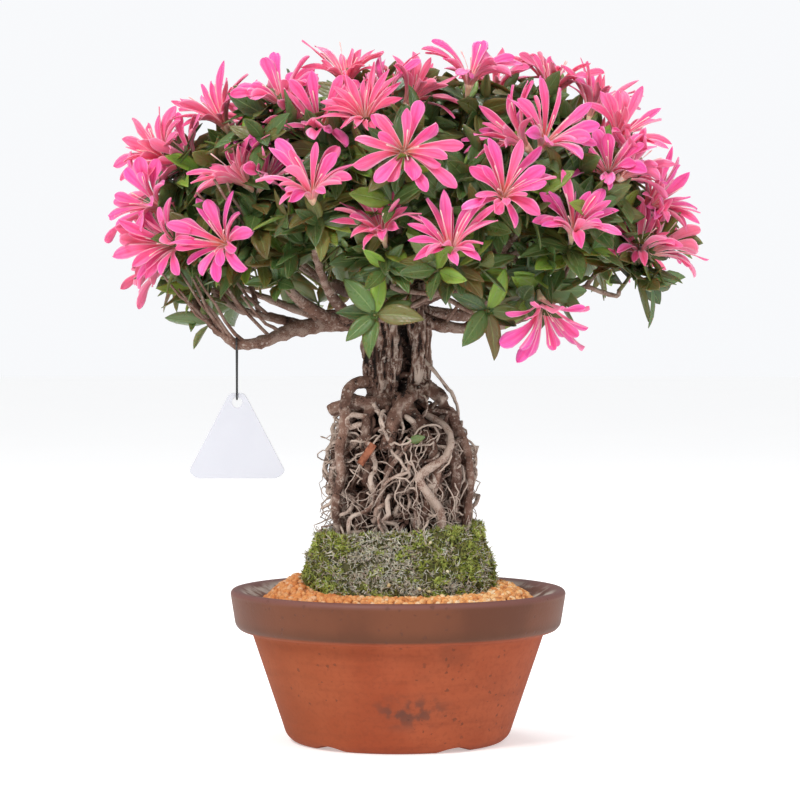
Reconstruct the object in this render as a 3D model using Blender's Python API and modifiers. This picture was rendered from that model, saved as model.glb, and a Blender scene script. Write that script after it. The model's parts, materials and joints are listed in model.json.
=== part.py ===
"""A satsuki azalea bonsai with strap-petalled blooms, grown over exposed roots in a terracotta pot.

Lengths are in millimetres in this script and become metres where a mesh is made. +Z is up, the origin is
the middle of the pot's foot, and the tree's front faces -Y.
"""

import math
import random

import bmesh
import bpy
from mathutils import Matrix, Vector
from mathutils.bvhtree import BVHTree

MM = 0.001
GAP = 0.3  # between two nodes that touch
UP = Vector((0, 0, 1))

# The pot
POT_RIM_R = 90.0
POT_HEIGHT = 81.5
BAND_FOOT_R = 87.3
BAND_FOOT_Z = 62.7
BODY_TOP_R = 78.5
BODY_TOP_Z = 58.5
FOOT_R = 60.0
WALL = 8.0
LIP_R = 84.5
FLOOR_TOP_Z = 10.0
POT_SIDES = 30
DRAINS = 3
DRAIN_R = 4.5
DRAIN_RING_R = 30.0
NOTCHES = 5
NOTCH_FIRST_DEG = 302.0
NOTCH_HEIGHT = 2.8
NOTCH_HALF_WIDTH = 11.0

# The soil, the mossy mound and the root ball inside it
SOIL_EDGE_R = 74.0
SOIL_EDGE_Z = 75.5
SOIL_FLAT_R = 54.5
SOIL_FLAT_Z = 81.0
SOIL_SIDES = 26
GRAIN_HEIGHT = 1.1
MOUND_R = 53.5
MOUND_SHOULDER_R = 49.0
MOUND_TOP_Z = 115.0
MOUND_LEAN_Z = 4.0  # how much higher the mound stands on the right
MOUND_SIDES = 24
RECESS_R = 42.0
RECESS_Z = 92.0
ROOT_BALL_TOP_Z = 112.0

# The tag and its wire
TAG_X, TAG_Y = -85.0, -25.5
TAG_TOP_Z = 187.0
TAG_HEIGHT = 45.0
TAG_HALF_WIDTH = 25.5
TAG_CORNER = 4.0
TAG_THICK = 1.0
TAG_HOLE_R = 2.7
TAG_HOLE_DROP = 5.0  # from the tag's top edge to the middle of its hole
WIRE_R = 0.55
WIRE_LOOP_Z = 213.0  # the middle of the branch that the wire hangs on
WIRE_LOOP_R = 3.9

# The trunk: stems that have grown together, each a list of (x, y, z, radius)
TRUNK_STEMS = (
    ((-7, -1, 183, 9.0), (-8.5, -2, 196, 10.4), (-9, -1, 212, 10.8), (-7, 0, 225, 11.0), (-3, 1, 238, 11.0)),
    ((9, -3, 183, 7.4), (10.5, -3, 194, 6.6), (11, -2, 208, 6.8), (9.5, -1, 222, 8.0), (4, 0, 237, 9.0)),
    ((1, 7, 182, 9.0), (1, 9, 200, 9.0), (0, 8, 220, 9.5), (0, 5, 240, 10.0)),
    ((-3, -8, 190, 4.2), (-2, -9.5, 205, 3.6), (-3, -8, 222, 4.4), (-1, -4, 236, 6.0)),
    ((1, 4, 108, 15.0), (-3, 5, 130, 11.0), (3, 6, 158, 12.0), (0, 4, 192, 13.0)),
)

# Roots that show by themselves in front, each a list of (x, y, z) with the radius at its start and end
SHOWN_ROOTS = (
    (((-9, -4, 190), (-19, -13, 192.5), (-26, -19, 189), (-28, -22, 180), (-28.5, -24, 169), (-31, -26, 156),
      (-30, -28, 144), (-33, -26, 130), (-31.5, -21, 114), (-31.5, -20, 106)), 3.6, 2.0),
    (((-2, -6, 180), (-13, -15, 181), (-24, -15, 182), (-36, -11, 177)), 4.2, 3.8),
    (((10, -8, 188), (3, -20, 183), (-1, -25, 175), (-4, -29, 166), (-5, -31, 158)), 4.6, 3.6),
    (((14, -14, 176), (27, -25, 167), (26, -32, 155), (17, -36, 148), (11, -37, 143), (15, -38, 135),
      (22, -33, 125), (24, -28.5, 110)), 2.4, 2.9),
    (((13, -6, 205), (20, -9, 197), (28, -8, 187), (32, -7, 177), (31, -8, 166), (34, -10, 152)), 1.1, 0.9),
    (((15, -8, 192), (24, -14, 181), (31, -16, 170), (36, -16, 158), (38, -16, 146), (37.5, -16, 132),
      (36, -14, 118), (34, -13, 106)), 2.9, 2.0),
    (((-6, -8, 184), (-15, -19, 177), (-17, -25, 166), (-15, -27, 152), (-18, -30, 140)), 3.2, 2.2),
    (((4, -10, 184), (8, -22, 172), (15, -27, 160), (20, -30, 148), (16, -33, 136)), 2.6, 1.8),
)
THICK_ROOTS = 7
THIN_ROOTS = 9
ROOT_TURN = math.radians(137.5)

# Main branches: (x, y, z) points, the radius at the start and at the end
BRANCHES = {
    "low_left": (((-10, 0, 225), (-36, -5, 224), (-52, -14, 221), (-61, -20, 218), (-73, -25, 213.5),
                  (-85, -25.5, 213), (-94, -24, 219), (-102, -22, 227), (-108, -20, 236)), 5.0, 1.3),
    "left_mid": (((-48, -11, 222), (-68, -5, 227), (-85, 1, 231), (-97, 5, 238), (-104, 8, 247)), 2.4, 1.3),
    "left_up": (((-36, -5, 225), (-52, -24, 236), (-62, -38, 249), (-69, -47, 261), (-73, -52, 270)), 3.0, 1.4),
    "left_front": (((-26, -2, 226), (-36, -30, 240), (-41, -55, 253), (-43, -70, 262)), 2.8, 1.4),
    "up_left": (((-5, 0, 236), (-18, 3, 252), (-29, 0, 270), (-36, -12, 287), (-39, -30, 299)), 4.4, 1.4),
    "up": (((0, 3, 237), (0, 12, 256), (2, 13, 280), (4, 5, 300), (2, -10, 313)), 4.6, 1.4),
    "front": (((1, -4, 234), (0, -34, 247), (0, -58, 263), (1, -76, 282)), 3.8, 1.5),
    "front_right": (((6, -4, 234), (16, -38, 238), (22, -64, 240)), 2.8, 1.5),
    "low_right": (((12, 0, 226), (25, -9, 222), (41, -19, 221), (56, -27, 223), (69, -33, 228), (85, -40, 237),
                   (98, -42, 243)), 3.4, 1.2),
    "right_mid": (((9, 2, 234), (28, -10, 244), (48, -29, 255), (66, -42, 262)), 3.4, 1.7),
    "right_up": (((48, -29, 255), (60, -45, 268), (66, -54, 281), (69, -61, 290)), 2.0, 1.3),
    "right_twig": (((62, -39, 261), (83, -48, 271), (97, -49, 279)), 1.9, 1.2),
    "up_right": (((6, 4, 236), (23, 20, 256), (45, 22, 281), (66, 14, 303), (80, 6, 313)), 4.2, 1.3),
    "back_left": (((-6, 6, 236), (-34, 40, 244), (-58, 64, 258), (-76, 74, 272)), 3.8, 1.4),
    "back": (((0, 8, 236), (4, 48, 250), (4, 76, 270), (2, 86, 290)), 3.8, 1.4),
    "back_right": (((8, 6, 235), (36, 40, 246), (62, 62, 258), (84, 70, 272)), 3.8, 1.4),
    "low_back_left": (((-8, 4, 230), (-44, 34, 228), (-70, 52, 236), (-92, 58, 246)), 3.2, 1.3),
    "low_back_right": (((10, 4, 230), (42, 34, 228), (72, 50, 235), (98, 54, 246)), 3.2, 1.3),
}

# Shoots: where the shoot's tip stands, the way it faces, and how many blooms it carries
SHOOTS = (
    ((2, -92, 309), (0.10, -0.93, 0.10), 1),
    ((27, -96, 254), (-0.05, -0.72, 0.66), 1),
    ((-43, -86, 281), (-0.05, -0.62, 0.78), 1),
    ((-73, -56, 290), (-0.10, -0.50, 0.86), 2),
    ((-97, -18, 303), (-0.86, -0.12, 0.45), 1),
    ((-110, -36, 264), (-0.92, -0.28, 0.10), 2),
    ((-40, -48, 316), (-0.42, -0.30, 0.82), 2),
    ((0, -34, 332), (0.02, -0.30, 0.95), 2),
    ((71, -66, 309), (-0.22, -0.58, 0.78), 2),
    ((52, 8, 335), (-0.05, -0.05, 1.00), 1),
    ((100, 2, 326), (0.40, 0.05, 0.90), 1),
    ((110, -46, 294), (0.38, -0.38, 0.84), 2),
    ((88, -74, 264), (0.10, -0.72, 0.68), 1),
    ((126, -30, 255), (0.45, -0.35, 0.80), 2),
    ((72, -62, 241), (0.20, -0.62, -0.72), 1),
    ((-6, -78, 262), (-0.20, -0.55, 0.75), 1),
    ((-62, 4, 318), (-0.35, 0.10, 0.92), 1),
    ((4, 38, 334), (0.00, 0.35, 0.93), 1),
    ((-92, 52, 292), (-0.62, 0.50, 0.60), 2),
    ((-44, 76, 306), (-0.25, 0.72, 0.65), 1),
    ((22, 92, 296), (0.10, 0.90, 0.42), 2),
    ((76, 66, 300), (0.45, 0.65, 0.60), 1),
    ((112, 44, 264), (0.80, 0.55, 0.20), 1),
    ((-20, 100, 258), (-0.15, 0.95, 0.10), 1),
    ((58, 88, 250), (0.35, 0.90, 0.05), 1),
    ((-114, 24, 256), (-0.95, 0.25, 0.10), 1),
    ((-12, -84, 228), (-0.25, -0.78, -0.10), 0),
    ((46, -84, 230), (0.35, -0.80, -0.20), 0),
)
SHOOT_LENGTH = 22.0
STEM_KNOTS = (0, 0.5, 1)
TWIG_R = 1.25
TWIG_END = 4.0  # the last stretch of a twig, in line with its shoot

# Leaves and petals
LEAVES_AT_TIP = 5
LEAVES_BELOW = 2
LEAF_LENGTH = (21.0, 31.0)
LEAF_WIDTH = 0.40
LEAF_KEEL = 1.1
PETALS = 7
PETALS_IN_PAIR = 6
PETAL_LENGTH = (32.0, 42.0)
PETAL_WIDTH = (5.5, 9.0)
PETAL_KEEL = 1.2
THROAT = 8.0
PETAL_SINK = 3.0  # how deep in the throat a petal is rooted
PETAL_RING_R = 0.8  # how far from the throat's axis a petal is rooted
DRAWS = 7
CLEAR = 0.4


def material(name, colour, roughness):
    made = bpy.data.materials.new(name)
    made.use_nodes = True
    shader = made.node_tree.nodes["Principled BSDF"]
    shader.inputs["Base Color"].default_value = (*colour, 1)
    shader.inputs["Roughness"].default_value = roughness
    made.diffuse_color = (*colour, 1)
    return made


def clear_scene():
    for old in list(bpy.data.objects):
        bpy.data.objects.remove(old, do_unlink=True)


def collection(name):
    made = bpy.data.collections.new(name)
    bpy.context.scene.collection.children.link(made)
    return made


def mesh_object(name, points, faces, into):
    """An object from points in millimetres and faces that may wind either way."""
    mesh = bpy.data.meshes.new(name)
    shape = bmesh.new()
    corners = [shape.verts.new(Vector(p) * MM) for p in points]
    for face in faces:
        shape.faces.new([corners[i] for i in face])
    bmesh.ops.recalc_face_normals(shape, faces=shape.faces)
    shape.to_mesh(mesh)
    shape.free()
    made = bpy.data.objects.new(name, mesh)
    into.objects.link(made)
    return made


def baked(obj, into):
    """A plain mesh of the object as it is evaluated, in place of the object."""
    bpy.context.view_layer.update()
    graph = bpy.context.evaluated_depsgraph_get()
    mesh = bpy.data.meshes.new_from_object(obj.evaluated_get(graph))
    shape = bmesh.new()
    shape.from_mesh(mesh)
    bmesh.ops.remove_doubles(shape, verts=shape.verts, dist=1e-6)
    shape.to_mesh(mesh)
    shape.free()
    name, place = obj.name, obj.matrix_world.copy()
    bpy.data.objects.remove(obj, do_unlink=True)
    made = bpy.data.objects.new(name, mesh)
    made.matrix_world = place
    into.objects.link(made)
    return made


def tube(name, points, radii, sides, into, cyclic=False):
    """A round stem, root or wire through points in millimetres, made a mesh with its ends closed."""
    curve = bpy.data.curves.new(name, "CURVE")
    curve.dimensions = "3D"
    curve.bevel_depth = MM
    curve.bevel_resolution = (sides - 4) // 2
    curve.use_fill_caps = not cyclic
    spline = curve.splines.new("POLY")
    spline.points.add(len(points) - 1)
    for knot, point, radius in zip(spline.points, points, radii):
        knot.co = (*(Vector(point) * MM), 1)
        knot.radius = radius
    spline.use_cyclic_u = cyclic
    obj = bpy.data.objects.new(name, curve)
    into.objects.link(obj)
    return baked(obj, into)


def turned(name, profile, sides, into):
    """A turned solid: (radius, z) points down the outside, closed round the inside or on the axis."""
    mesh = bpy.data.meshes.new(name)
    points = [(r * MM, 0, z * MM) for r, z in profile]
    on_axis = profile[0][0] == 0
    edges = [(i, i + 1) for i in range(len(points) - 1)]
    if not on_axis:
        edges.append((len(points) - 1, 0))
    mesh.from_pydata(points, edges, [])
    obj = bpy.data.objects.new(name, mesh)
    into.objects.link(obj)
    screw = obj.modifiers.new("turn", "SCREW")
    screw.steps = screw.render_steps = sides
    screw.use_merge_vertices = True
    screw.merge_threshold = 1e-5
    made = baked(obj, into)
    shape = bmesh.new()
    shape.from_mesh(made.data)
    bmesh.ops.recalc_face_normals(shape, faces=shape.faces)
    shape.to_mesh(made.data)
    shape.free()
    return made


def combined(first, others, operation, into):
    """One solid: the first object with the others joined on, or cut away, and then removed."""
    name = first.name
    if others:
        tools = collection(name + "_tools")
        for other in others:
            for home in list(other.users_collection):
                home.objects.unlink(other)
            tools.objects.link(other)
        boolean = first.modifiers.new("boolean", "BOOLEAN")
        boolean.operation = operation
        boolean.operand_type = "COLLECTION"
        boolean.collection = tools
        boolean.solver = "MANIFOLD"
        first = baked(first, into)
        for other in list(tools.objects):
            bpy.data.objects.remove(other, do_unlink=True)
        bpy.data.collections.remove(tools)
    first.name = name
    return first


def largest_shell(obj):
    """The object with only its largest shell: a hollow that joining sealed is filled, a scrap dropped."""
    shape = bmesh.new()
    shape.from_mesh(obj.data)
    left = set(shape.verts)
    shells = []
    while left:
        shell = [left.pop()]
        for vert in shell:
            for edge in vert.link_edges:
                other = edge.other_vert(vert)
                if other in left:
                    left.remove(other)
                    shell.append(other)
        shells.append(shell)
    shells.sort(key=len)
    for shell in shells[:-1]:
        bmesh.ops.delete(shape, geom=shell, context="VERTS")
    shape.to_mesh(obj.data)
    shape.free()
    return obj


def finished(obj, finish):
    obj.data.materials.clear()
    obj.data.materials.append(finish)
    return obj


def smooth(points, steps):
    """Points on a Catmull-Rom curve through these points."""
    knots = [Vector(p) for p in points]
    knots = [2 * knots[0] - knots[1], *knots, 2 * knots[-1] - knots[-2]]
    found = []
    for a, b, c, d in zip(knots, knots[1:], knots[2:], knots[3:]):
        for step in range(steps):
            t = step / steps
            found.append(0.5 * (2 * b + (c - a) * t + (2 * a - 5 * b + 4 * c - d) * t**2
                                + (3 * b - a - 3 * c + d) * t**3))
    return [*found, knots[-2]]


def tapered(count, start, end):
    return [start + (end - start) * i / (count - 1) for i in range(count)]


def across(direction):
    """Two unit vectors square to a direction and to each other."""
    side = direction.cross(UP)
    if side.length < 0.05:
        side = direction.cross(Vector((1, 0, 0)))
    side.normalize()
    return side, side.cross(direction).normalized()


def leaning(direction, angle, turn):
    """The direction tipped by angle towards the side that turn picks."""
    side, other = across(direction)
    out = side * math.cos(turn) + other * math.sin(turn)
    return (direction * math.cos(angle) + out * math.sin(angle)).normalized()


def make_pot(parts, finish):
    inside = (
        (0, FLOOR_TOP_Z), (FOOT_R - WALL - 2, FLOOR_TOP_Z), (BODY_TOP_R - WALL, BODY_TOP_Z),
        (SOIL_EDGE_R + GAP, SOIL_EDGE_Z - 1), (LIP_R + 1, POT_HEIGHT),
    )
    outside = (
        (POT_RIM_R - 1.5, POT_HEIGHT), (POT_RIM_R, POT_HEIGHT - 1.8), (BAND_FOOT_R, BAND_FOOT_Z),
        (BAND_FOOT_R - 2.2, BAND_FOOT_Z - 2.6), (BODY_TOP_R, BODY_TOP_Z), (FOOT_R, 3.6), (FOOT_R - 4, 0), (0, 0),
    )
    pot = turned("pot", (*inside, *outside), POT_SIDES, parts)
    radius = (NOTCH_HALF_WIDTH**2 + NOTCH_HEIGHT**2) / (2 * NOTCH_HEIGHT)
    cutters = []
    for i in range(NOTCHES):
        angle = math.radians(NOTCH_FIRST_DEG + i * 360 / NOTCHES)
        out = Vector((math.cos(angle), math.sin(angle), 0))
        bpy.ops.mesh.primitive_cylinder_add(vertices=16, radius=radius * MM, depth=40 * MM)
        cutter = bpy.context.object
        place = Matrix.Translation((out * FOOT_R + UP * (NOTCH_HEIGHT - radius)) * MM)
        cutter.data.transform(place @ out.to_track_quat("Z", "Y").to_matrix().to_4x4())
        cutters.append(cutter)
    for i in range(DRAINS):
        angle = math.tau * i / DRAINS
        spot = (DRAIN_RING_R * math.cos(angle) * MM, DRAIN_RING_R * math.sin(angle) * MM, 0)
        bpy.ops.mesh.primitive_cylinder_add(vertices=10, radius=DRAIN_R * MM, depth=40 * MM)
        bpy.context.object.data.transform(Matrix.Translation(spot))
        cutters.append(bpy.context.object)
    return finished(combined(pot, cutters, "DIFFERENCE", parts), finish)


def make_soil(parts, finish):
    draw = random.Random("soil")
    rings = ((SOIL_FLAT_R, SOIL_FLAT_Z), (61.0, 80.6), (67.5, 78.6), (SOIL_EDGE_R - GAP, SOIL_EDGE_Z - 1))
    profile = [(0, SOIL_FLAT_Z), *rings, (BODY_TOP_R - WALL - 2 * GAP, BODY_TOP_Z),
               (FOOT_R - WALL - 2 - 2 * GAP, FLOOR_TOP_Z + GAP), (0, FLOOR_TOP_Z + GAP)]
    soil = turned("soil", profile, SOIL_SIDES, parts)
    for vert in soil.data.vertices:
        r = math.hypot(vert.co.x, vert.co.y) / MM
        if SOIL_FLAT_R + 1 < r < SOIL_EDGE_R - 1 and vert.co.z > BODY_TOP_Z * MM + 0.01:
            heap = 2.2 * math.exp(-((math.atan2(vert.co.y, vert.co.x) - math.pi * 0.97) / 0.5) ** 2)
            lift = GRAIN_HEIGHT * (1 if (vert.index % 2) else -0.4) + draw.uniform(-0.5, 0.5) + heap
            vert.co.z += lift * MM
    return finished(soil, finish)


def mound_lift(x):
    """How much higher the mound's shoulder stands at x: it leans up to the right."""
    return MOUND_LEAN_Z * max(-0.5, min(1, x / MOUND_SHOULDER_R))


def make_mound(parts, finish):
    """The mossy mound, a thick ring round the root ball with a plain recess for it."""
    draw = random.Random("mound")
    profile = (
        (RECESS_R, MOUND_TOP_Z - 1), (RECESS_R + 3.2, MOUND_TOP_Z), (MOUND_SHOULDER_R, MOUND_TOP_Z - 4),
        (MOUND_SHOULDER_R + 1.5, 103), (MOUND_R - 1.5, 92), (MOUND_R, SOIL_FLAT_Z + GAP),
    )
    mound = turned("moss_mound", [(0, RECESS_Z), (RECESS_R, RECESS_Z), *profile, (0, SOIL_FLAT_Z + GAP)],
                   MOUND_SIDES, parts)
    for vert in mound.data.vertices:
        r = math.hypot(vert.co.x, vert.co.y) / MM
        z = vert.co.z / MM
        if r < RECESS_R + 0.5 or z < SOIL_FLAT_Z + 1:
            if z > RECESS_Z + 5:
                vert.co.z += mound_lift(vert.co.x / MM) * MM
            continue
        swell = 1 + draw.uniform(-0.022, 0.022) - 0.02 * math.sin(3 * math.atan2(vert.co.y, vert.co.x))
        rise = (z - SOIL_FLAT_Z) / (MOUND_TOP_Z - SOIL_FLAT_Z)
        vert.co.z += (mound_lift(vert.co.x / MM) * rise + draw.uniform(-0.6, 0.6)) * MM
        vert.co.x *= swell
        vert.co.y *= swell
    return finished(mound, finish)


def root_reach(z):
    """How far out the roots stand at a height: a bell that closes into the mound."""
    top, belly, low = 14.0, 40.0, 38.0
    t = max(0.0, min(1.0, (190 - z) / 40))
    out = top + (belly - top) * (1 - (1 - t) ** 2.2)
    return out + (low - belly) * max(0.0, min(1.0, (145 - z) / 35))


def ruled_root(number, thin):
    """A root's points and radii: down from the trunk, wandering sideways, into the root ball."""
    draw = random.Random(f"{'thin' if thin else 'thick'} root {number}")
    angle = number * ROOT_TURN + (0.7 if thin else 0.0)
    wander = draw.choice((-1, 1)) * draw.uniform(0.25, 0.7)
    depth = draw.uniform(0.55, 0.98) if thin else draw.uniform(0.5, 0.95)
    top = draw.uniform(150, 180) if thin else draw.uniform(180, 189)
    low = 104.0
    count = 4 if thin else 5
    points = []
    for i in range(count):
        t = i / (count - 1)
        z = top + (low - top) * t
        reach = root_reach(z) * (depth + (1 - depth) * math.sin(math.pi * t) * draw.uniform(0.2, 1))
        turn = angle + wander * math.sin(math.pi * 0.9 * t) + draw.uniform(-0.14, 0.14)
        points.append((reach * math.cos(turn), reach * math.sin(turn), z + draw.uniform(-2, 2) * (0 < i < count - 1)))
    if not thin:
        points[0] = (points[0][0] * 0.55, points[0][1] * 0.55, top + 2)
    start = draw.uniform(1.3, 1.8) if thin else draw.uniform(2.6, 4.0)
    return points, tapered(count, start, start * 0.72)


def make_root_pieces(scrap):
    made = []
    for points, start, end in SHOWN_ROOTS:
        made.append(tube("root", points, tapered(len(points), start, end), 6 if start > 3 else 4, scrap))
    for number in range(THICK_ROOTS):
        made.append(tube("root", *ruled_root(number, False), 6, scrap))
    for number in range(THIN_ROOTS):
        made.append(tube("root", *ruled_root(number, True), 4, scrap))
    return made


def shoot_at(number, t):
    """A point on a shoot's stem, from where it joins its twig at 0 to its tip at 1."""
    tip, facing, _ = SHOOTS[number]
    tip = Vector(tip)
    facing = Vector(facing).normalized()
    rising = (Vector((tip.x * 0.55, tip.y * 0.55, 0)) + UP * 55).normalized()
    foot_way = (facing * 0.6 + rising * 0.4).normalized()
    length = SHOOT_LENGTH * (0.8 if tip.z < 260 else 1.0)
    back = 1 - t
    return tip - length * (facing * (back - back * back / 2) + foot_way * back * back / 2)


def shoot_line(number):
    return [shoot_at(number, t) for t in STEM_KNOTS]


def twig_line(number):
    """A twig from the nearest branch, lower down and further in, to a shoot's foot."""
    line = shoot_line(number)
    foot = line[0]
    way = (line[1] - line[0]).normalized()
    best = None
    for points, start, end in BRANCHES.values():
        knots = smooth(points, 3)
        for i, knot in enumerate(knots[2:], 2):
            gap = foot - knot
            cost = gap.length * (1.5 - 0.9 * gap.normalized().dot(way))
            if best is None or cost < best[0]:
                best = (cost, knot, start + (end - start) * i / (len(knots) - 1))
    _, anchor, girth = best
    radius = min(TWIG_R, girth)
    return [anchor, foot - way * TWIG_END, foot - way * GAP], [radius * 1.1, radius, radius * 0.95]


def make_wood(parts, scrap, finish):
    """The trunk, its branches and twigs, and its exposed roots down to the root ball: one grown piece."""
    stems = []
    for stem in TRUNK_STEMS:
        points = smooth([p[:3] for p in stem], 1)
        stems.append(tube("stem", points, [p[3] for p in stem], 6, scrap))
    ball = turned("ball", ((0, ROOT_BALL_TOP_Z), (30, ROOT_BALL_TOP_Z - 1), (RECESS_R - 4, ROOT_BALL_TOP_Z - 5),
                           (RECESS_R - GAP - 0.2, ROOT_BALL_TOP_Z - 10), (RECESS_R - GAP - 0.2, RECESS_Z + GAP),
                           (0, RECESS_Z + GAP)), 16, scrap)
    pieces = [*stems[1:], ball, *make_root_pieces(scrap)]
    for points, start, end in BRANCHES.values():
        line = smooth(points, 1)
        pieces.append(tube("branch", line, tapered(len(line), start, end), 6 if start > 4 else 4, scrap))
    for number in range(len(SHOOTS)):
        pieces.append(tube("twig", *twig_line(number), 4, scrap))
    stems[0].name = "trunk_roots_and_branches"
    return finished(largest_shell(combined(stems[0], pieces, "UNION", parts)), finish)


def make_tag(parts, finish):
    """A plain triangular card with cut corners and a hole, facing forwards."""
    bottom = TAG_TOP_Z - TAG_HEIGHT
    lean = TAG_CORNER * TAG_HEIGHT / TAG_HALF_WIDTH * 0.5
    outline = [(-TAG_CORNER, TAG_TOP_Z), (TAG_CORNER, TAG_TOP_Z), (TAG_HALF_WIDTH, bottom + lean),
               (TAG_HALF_WIDTH - TAG_CORNER, bottom), (TAG_CORNER - TAG_HALF_WIDTH, bottom),
               (-TAG_HALF_WIDTH, bottom + lean)]
    hole_z = TAG_TOP_Z - TAG_HOLE_DROP
    hole = [(TAG_HOLE_R * math.cos(a), hole_z - TAG_HOLE_R * math.sin(a))
            for a in (math.tau * (i + 0.5) / 10 for i in range(10))]
    curve = bpy.data.curves.new("tag", "CURVE")
    curve.dimensions = "2D"
    curve.fill_mode = "BOTH"
    curve.extrude = TAG_THICK / 2 * MM
    for ring in (outline, hole):
        spline = curve.splines.new("POLY")
        spline.points.add(len(ring) - 1)
        spline.use_cyclic_u = True
        for knot, (x, z) in zip(spline.points, ring):
            knot.co = ((TAG_X + x) * MM, z * MM, 0, 1)
    obj = bpy.data.objects.new("tag", curve)
    obj.rotation_euler.x = math.pi / 2
    obj.location.y = TAG_Y * MM
    parts.objects.link(obj)
    return finished(baked(obj, parts), finish)


def make_wire(parts, finish):
    """A thin wire: one loop that lies over the branch and goes through the tag's hole."""
    low = TAG_TOP_Z - TAG_HOLE_DROP + 1.6
    points = []
    for step in range(7):
        turn = math.pi * step / 6
        points.append((WIRE_LOOP_R * math.cos(turn), WIRE_LOOP_Z + WIRE_LOOP_R * math.sin(turn)))
    points += [(-1.9, low + 12), (-1.45, low + 1.9), (-1.25, low + 0.5), (0, low),
               (1.25, low + 0.5), (1.45, low + 1.9), (1.9, low + 12)]
    wire = tube("tag_wire", [(TAG_X, TAG_Y + y, z) for y, z in points], [WIRE_R] * len(points), 4, parts, True)
    return finished(wire, finish)


def blade(root, way, end_way, side, length, half_widths, keel, blunt):
    """A leaf or petal's points and faces: flat above, keeled below, curving from way to end_way.

    half_widths are (share of the length, half width) where it has a cross-section. It starts at a point,
    and ends in a point or, if blunt, in an edge.
    """
    def place(t):
        return root + length * (way * (t - t * t / 2) + end_way * t * t / 2)

    def below(t):
        return side.cross(way * (1 - t) + end_way * t).normalized() * -1

    points = [place(0)]
    for t, half in half_widths:
        points += [place(t) + side * half, place(t) - side * half, place(t) + below(t) * keel]
    last = len(points) - 3
    faces = [(0, 1, 2), (0, 3, 1), (0, 2, 3)]
    for a in range(1, last, 3):
        b = a + 3
        faces += [(a, b, b + 1), (a, b + 1, a + 1), (a, a + 2, b + 2), (a, b + 2, b),
                  (a + 1, b + 1, b + 2), (a + 1, b + 2, a + 2)]
    if blunt:
        half = half_widths[-1][1] * 0.55
        points += [place(1) + side * half, place(1) - side * half]
        left, right = len(points) - 2, len(points) - 1
        faces += [(last, left, right), (last, right, last + 1), (last + 2, right, left),
                  (last, last + 2, left), (last + 1, right, last + 2)]
    else:
        points.append(place(1))
        tip = len(points) - 1
        faces += [(last, tip, last + 1), (last + 1, tip, last + 2), (last + 2, tip, last)]
    return points, faces


def leaf_draw(number, leaf, attempt):
    """Where leaf number `leaf` of a shoot would stand: its root, ways, side, length and width."""
    draw = random.Random(f"shoot {number} leaf {leaf} try {attempt}")
    at_tip = leaf < LEAVES_AT_TIP
    share = draw.uniform(0.82, 0.93) if at_tip else 0.2 + 0.5 * (leaf - LEAVES_AT_TIP) / LEAVES_BELOW
    spot = shoot_at(number, share)
    axis = (shoot_at(number, 1) - shoot_at(number, 0)).normalized()
    turn = leaf * math.radians(360 / LEAVES_AT_TIP if at_tip else 137.5) + number + draw.uniform(-0.45, 0.45)
    lean = draw.uniform(1.0, 1.5)
    out = leaning(axis, lean, turn)
    end = (leaning(axis, lean + draw.uniform(0.1, 0.6), turn) - UP * draw.uniform(0.0, 0.35)).normalized()
    side = out.cross(axis).normalized()
    length = draw.uniform(*LEAF_LENGTH) * (0.94 ** attempt) * (1.0 if at_tip else 0.88)
    return spot - out * 0.5, out, end, side, length, length * LEAF_WIDTH * draw.uniform(0.85, 1.1)


def petals_of(number):
    return PETALS if SHOOTS[number][2] == 1 else PETALS_IN_PAIR


def petal_draw(number, bloom, petal, attempt):
    """Where a petal would stand in its bloom."""
    draw = random.Random(f"shoot {number} bloom {bloom} petal {petal} try {attempt}")
    tip, facing = bloom_axis(number, bloom)
    turn = math.tau * (petal + draw.uniform(-0.3, 0.3)) / petals_of(number) + number
    closing = 0.86 ** attempt
    out = leaning(facing, draw.uniform(0.25, 0.45) * closing, turn)
    end = leaning(facing, draw.uniform(1.25, 1.75) * closing, turn)
    side = out.cross(facing).normalized()
    root = tip + facing * (THROAT - PETAL_SINK) + facing.cross(side) * PETAL_RING_R
    length = draw.uniform(*PETAL_LENGTH) * (0.95 ** attempt)
    return root, out, end, side, length, draw.uniform(*PETAL_WIDTH)


def leaf_blade(spot, out, end, side, length, width, grow=0.0):
    sections = ((0.34, width * 0.46 + grow), (0.68, width * 0.38 + grow))
    return blade(spot, out, end, side, length + grow, sections, LEAF_KEEL + grow, False)


def petal_blade(root, out, end, side, length, width, grow=0.0):
    sections = ((0.32, width * 0.22 + grow), (0.84, width * 0.5 + grow))
    return blade(root, out, end, side, length + grow, sections, PETAL_KEEL + grow, True)


def bloom_axis(number, bloom):
    """The foot and the way of a bloom: a pair leans apart from one foot."""
    tip, facing, count = SHOOTS[number]
    facing = Vector(facing).normalized()
    if count == 1:
        return Vector(tip) + facing * GAP, facing
    side = facing.cross(UP).normalized()
    lean = 0.62 if bloom == 0 else -0.62
    return Vector(tip) + facing * GAP, (facing * math.cos(lean) + side * math.sin(lean)).normalized()


class Canopy:
    """What already stands in the canopy, so that each new blade grows clear of other nodes."""

    def __init__(self):
        self.grown = []

    def add(self, owner, points, faces):
        self.grown.append((owner, BVHTree.FromPolygons([tuple(p) for p in points], faces)))

    def add_object(self, owner, obj):
        mesh = obj.data
        self.add(owner, [v.co / MM for v in mesh.vertices], [tuple(p.vertices) for p in mesh.polygons])

    def is_clear(self, owner, points, faces):
        tree = BVHTree.FromPolygons([tuple(p) for p in points], faces)
        return not any(tree.overlap(other) for who, other in self.grown if who != owner)


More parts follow.
